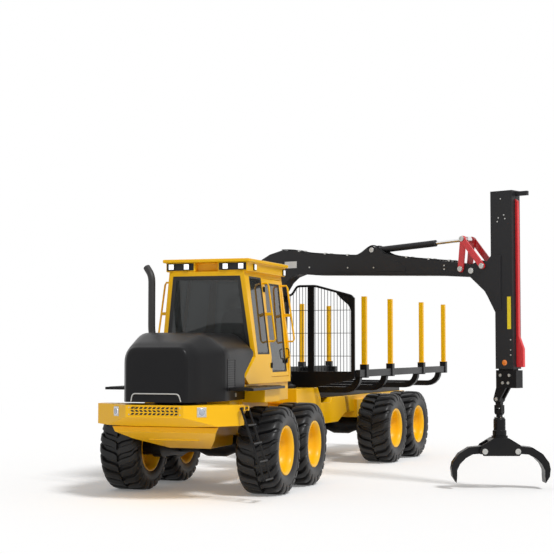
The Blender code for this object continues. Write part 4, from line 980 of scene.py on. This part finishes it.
# Top edge as (out from the middle, height)
GATE_TOP = np.array(((0.0, 3.20), (0.07, 3.22), (0.17, 3.372), (0.53, 3.372), (1.24, 3.18),
                     (1.278, 3.13)))
GATE_SILL = 1.80
WIRE_PITCH = 0.062
WIRE_RADIUS = 0.0065
POSTS = ((0.445, 0.060), (1.265, 0.034))
edge = np.vstack(((GATE_TOP[-1][0], GATE_SILL - 0.02), GATE_TOP[::-1]))
edge = np.vstack((edge, edge[:-1][::-1] * (-1, 1)))
edge = np.insert(edge, 1, GATE_Y, axis=1)
gate = [rod(bent(edge, 0.05, 4), 0.022, 10)]
gate.append(plate([(0.50, 1.502), (1.298, 1.665), (1.298, GATE_SILL), (-1.298, GATE_SILL),
                   (-1.298, 1.665), (-0.50, 1.502)], GATE_Y - 0.028, GATE_Y + 0.028, 1))
for x, half in POSTS:
    for side in (-1, 1):
        top = np.interp(x, GATE_TOP[:, 0], GATE_TOP[:, 1])
        gate.append(block((side * x - half, side * x + half), (GATE_Y - 0.024, GATE_Y + 0.024),
                          (GATE_SILL - 0.01, top)))
        if x > 1.0:
            brace = [(side * 1.24, 3.17), (side * 1.24, 2.90), (side * 1.17, 3.02),
                     (side * 1.02, 3.14), (side * 0.92, 3.26)]
            gate.append(plate(brace, GATE_Y - 0.004, GATE_Y + 0.004, 1))
wire_x = np.arange(-GATE_HALF + 0.09, GATE_HALF - 0.08, WIRE_PITCH)
wire_top = np.interp(np.abs(wire_x), GATE_TOP[:, 0], GATE_TOP[:, 1])
angle = np.arange(6) * math.pi / 3
wires = np.empty((len(wire_x), 2, 6, 3))
wires[..., 0] = wire_x[:, None, None] + WIRE_RADIUS * np.cos(angle)
wires[..., 1] = GATE_Y + WIRE_RADIUS * np.sin(angle)
wires[..., 2] = np.stack((np.full(len(wire_x), GATE_SILL - 0.005), wire_top), -1)[..., None]
gate.append(skin(wires))
for z in (2.08, 2.50, 2.92):
    gate.append(rod([(-GATE_HALF + 0.05, GATE_Y - 0.012, z), (GATE_HALF - 0.05, GATE_Y - 0.012, z)],
                    0.006, 6))
gate_piece = make("gate_frame", gate, MACHINE, black_paint, "rear_frame", bevel=0.003)
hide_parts("gate")

# ------------------------------------------------------------------ crane fittings
# Hardened pins with zinc-plated heads, stiffening plates welded on the boom's sides,
# steel oil pipes clamped along its back, and bare plates where labels would be.
boom_axis = joints["boom_lift"]["axis"]
CRANE = board(joints["slew"]["pos_m"], (-boom_axis[1], boom_axis[0], 0.0))
BOOM_HALF = 0.115
STICK_HALF = 0.125
PINS = (
    # (along the boom, height, half length, head's radius, body)
    (-0.02, 3.28, 0.178, 0.060, "pillar"),
    (-0.42, 2.10, 0.112, 0.045, "pillar"),
    (-0.47, 3.50, 0.125, 0.045, "main_boom"),
    (2.24, 3.904, 0.125, 0.045, "main_boom"),
    (4.047, 3.512, 0.160, 0.045, "main_boom"),
    (4.257, 3.474, 0.158, 0.050, "stick"),
    (4.097, 3.996, 0.190, 0.045, "upper_link"),
    (4.472, 3.542, 0.190, 0.045, "stick"),
)
PIN_BODIES = sorted({row[-1] for row in PINS})
for body in PIN_BODIES:
    heads = []
    for t, z, half, radius, pin_body in PINS:
        if pin_body != body:
            continue
        for side in (-1, 1):
            head = ((radius * 0.45, side * half), (radius * 0.5, side * (half + 0.010)),
                    (radius * 0.92, side * (half + 0.010)), (radius, side * (half + 0.004)),
                    (radius, side * (half - 0.012)), (radius * 0.45, side * (half - 0.012)))
            heads.append(turned(head, 24, axis=1, centre=(t, 0.0, z), closed=True))
            core = ((radius * 0.46, side * (half - 0.012)), (radius * 0.46, side * (half + 0.003)))
            heads.append(turned(core, 24, axis=1, centre=(t, 0.0, z)))
    make(body + "_pin_heads", heads, CRANE, zinc, body)

STIFFENER = ((1.42, 3.565), (1.45, 3.62), (1.62, 3.71), (1.86, 3.78), (2.24, 3.81),
             (2.56, 3.765), (2.78, 3.68), (2.94, 3.58), (2.94, 3.515), (1.42, 3.545))
studs, stiffeners, blanks = [], [], []
for side in (-1, 1):
    low, high = sorted((side * BOOM_HALF, side * (BOOM_HALF + 0.006)))
    stiffeners.append(plate(STIFFENER, low, high, 1))
    stiffeners.append(plate([(0.85, 3.555), (3.9, 3.435), (3.9, 3.46), (0.85, 3.585)], low,
                            high, 1))
    for t, z in ((0.86, 3.66), (1.72, 3.62), (2.28, 3.60), (3.72, 3.52), (3.72, 3.58)):
        studs.append(bolt_ring(1, 0.0, side * BOOM_HALF, side * (BOOM_HALF + 0.012), 0.014,
                               axis=1, centre=(t, 0.0, z)))
    blanks.append(block((0.28, 0.56), sorted((side * BOOM_HALF, side * (BOOM_HALF + 0.003))),
                        (3.66, 3.78)))
make("boom_stiffeners", stiffeners, CRANE, charcoal_paint, "main_boom", bevel=0.002)
make("boom_studs", studs, CRANE, zinc, "main_boom")
blank_white = coated("bare white plate", (0.78, 0.78, 0.76), 0.4, dusting=0.4)
make("boom_blank_plates", blanks, CRANE, blank_white, "main_boom", bevel=0.001)

# The boom's back as (along, height), where the pipes lie
BOOM_BACK = ((0.20, 3.99), (0.48, 3.975), (0.767, 3.917), (1.756, 3.826), (1.96, 3.84),
             (2.14, 3.94), (2.24, 3.97), (2.34, 3.94), (2.50, 3.83), (2.818, 3.756),
             (3.90, 3.637))
PIPE_RADIUS = 0.010
pipes, clamps = [], []
back = np.array(BOOM_BACK)
for across in (-0.098, -0.072, 0.072, 0.098):
    line = np.stack((back[:, 0], np.full(len(back), across), back[:, 1] + PIPE_RADIUS + 0.002), -1)
    pipes.append(rod(through(line, 3), PIPE_RADIUS, 8))
for t in (0.60, 1.20, 1.70, 2.95, 3.40, 3.80):
    z = np.interp(t, back[:, 0], back[:, 1])
    for side in (-1, 1):
        clamps.append(block((t - 0.02, t + 0.02), sorted((side * 0.058, side * 0.112)),
                            (z - 0.004, z + 0.028)))
make("boom_pipes", pipes, CRANE, black_paint, "main_boom")
make("boom_pipe_clamps", clamps, CRANE, zinc, "main_boom", bevel=0.003)

# ------------------------------------------------------------------ stick fittings
# The stick's sides carry wear-pad bolts, two bare yellow strips and an orange disc; the
# crosshead under it is bolted together.
bare_yellow = coated("bare yellow strip", (0.95, 0.72, 0.01), 0.35, dusting=0.1)
orange = coated("orange disc", (0.90, 0.22, 0.01), 0.3, dusting=0.1, Coat_Weight=0.6)
strips, discs, pads = [], [], []
for side in (-1, 1):
    face = sorted((side * STICK_HALF, side * (STICK_HALF + 0.002)))
    strips.append(block((4.905, 4.972), face, (2.53, 3.04)))
    strips.append(block((4.665, 4.775), face, (3.50, 3.64)) if side < 0 else
                  block((4.86, 4.97), face, (3.50, 3.64)))
    disc = ((0.001, side * (STICK_HALF + 0.008)), (0.030, side * (STICK_HALF + 0.007)),
            (0.044, side * (STICK_HALF + 0.003)), (0.044, side * STICK_HALF),
            (0.001, side * STICK_HALF))
    discs.append(turned(disc, 28, axis=1, centre=(4.85, 0.0, 2.00)))
    for t, z in ((4.80, 4.60), (4.76, 4.30), (4.86, 4.34), (4.74, 4.24), (4.88, 4.28),
                 (4.965, 2.36), (4.965, 2.20), (4.965, 2.12)):
        pads.append(bolt_ring(1, 0.0, side * (STICK_HALF - 0.001), side * (STICK_HALF + 0.008),
                              0.012, axis=1, centre=(t, 0.0, z)))
make("stick_strips", strips, CRANE, bare_yellow, "stick")
make("stick_discs", discs, CRANE, orange, "stick")
make("stick_bolts", pads, CRANE, zinc, "stick")
bolts = []
for side in (-1, 1):
    for t, z in ((4.76, 1.80), (4.92, 1.80), (4.80, 1.68), (4.90, 1.68)):
        bolts.append(bolt_ring(1, 0.0, side * 0.099, side * 0.116, 0.026, axis=1,
                               centre=(t, 0.0, z)))
    bolts.append(bolt_ring(1, 0.0, side * 0.084, side * 0.096, 0.032, axis=1,
                           centre=(4.67, 0.0, 1.42)))
make("crosshead_bolts", bolts, CRANE, zinc, "extension")
cap = bolt_ring(8, 0.082, 1.128, 1.136, 0.008, axis=2, centre=(4.67, 0.0, 0.0))
make("rotator_bolts", [cap], CRANE, zinc, "rotator")

# ------------------------------------------------------------------ grapple fittings
# The claws turn on pins with bolted heads in the frame's two side plates.
claw_axis = joints["claw_left_close"]["axis"]
GRAPPLE = board(joints["grapple_turn"]["pos_m"], (claw_axis[1], -claw_axis[0], 0.0))
CLAW_PIN_X, CLAW_PIN_Z = 0.26, 0.60
pin_heads = []
for side in (-1, 1):
    for end in (-1, 1):
        head = ((0.001, end * 0.204), (0.040, end * 0.204), (0.046, end * 0.198),
                (0.046, end * 0.188), (0.001, end * 0.188))
        pin_heads.append(turned(head, 24, axis=1, centre=(side * CLAW_PIN_X, 0.0, CLAW_PIN_Z)))
        pin_heads.append(bolt_ring(3, 0.022, end * 0.203, end * 0.210, 0.007, axis=1,
                                   centre=(side * CLAW_PIN_X, 0.0, CLAW_PIN_Z)))
make("grapple_pin_heads", pin_heads, GRAPPLE, zinc, "grapple_frame")
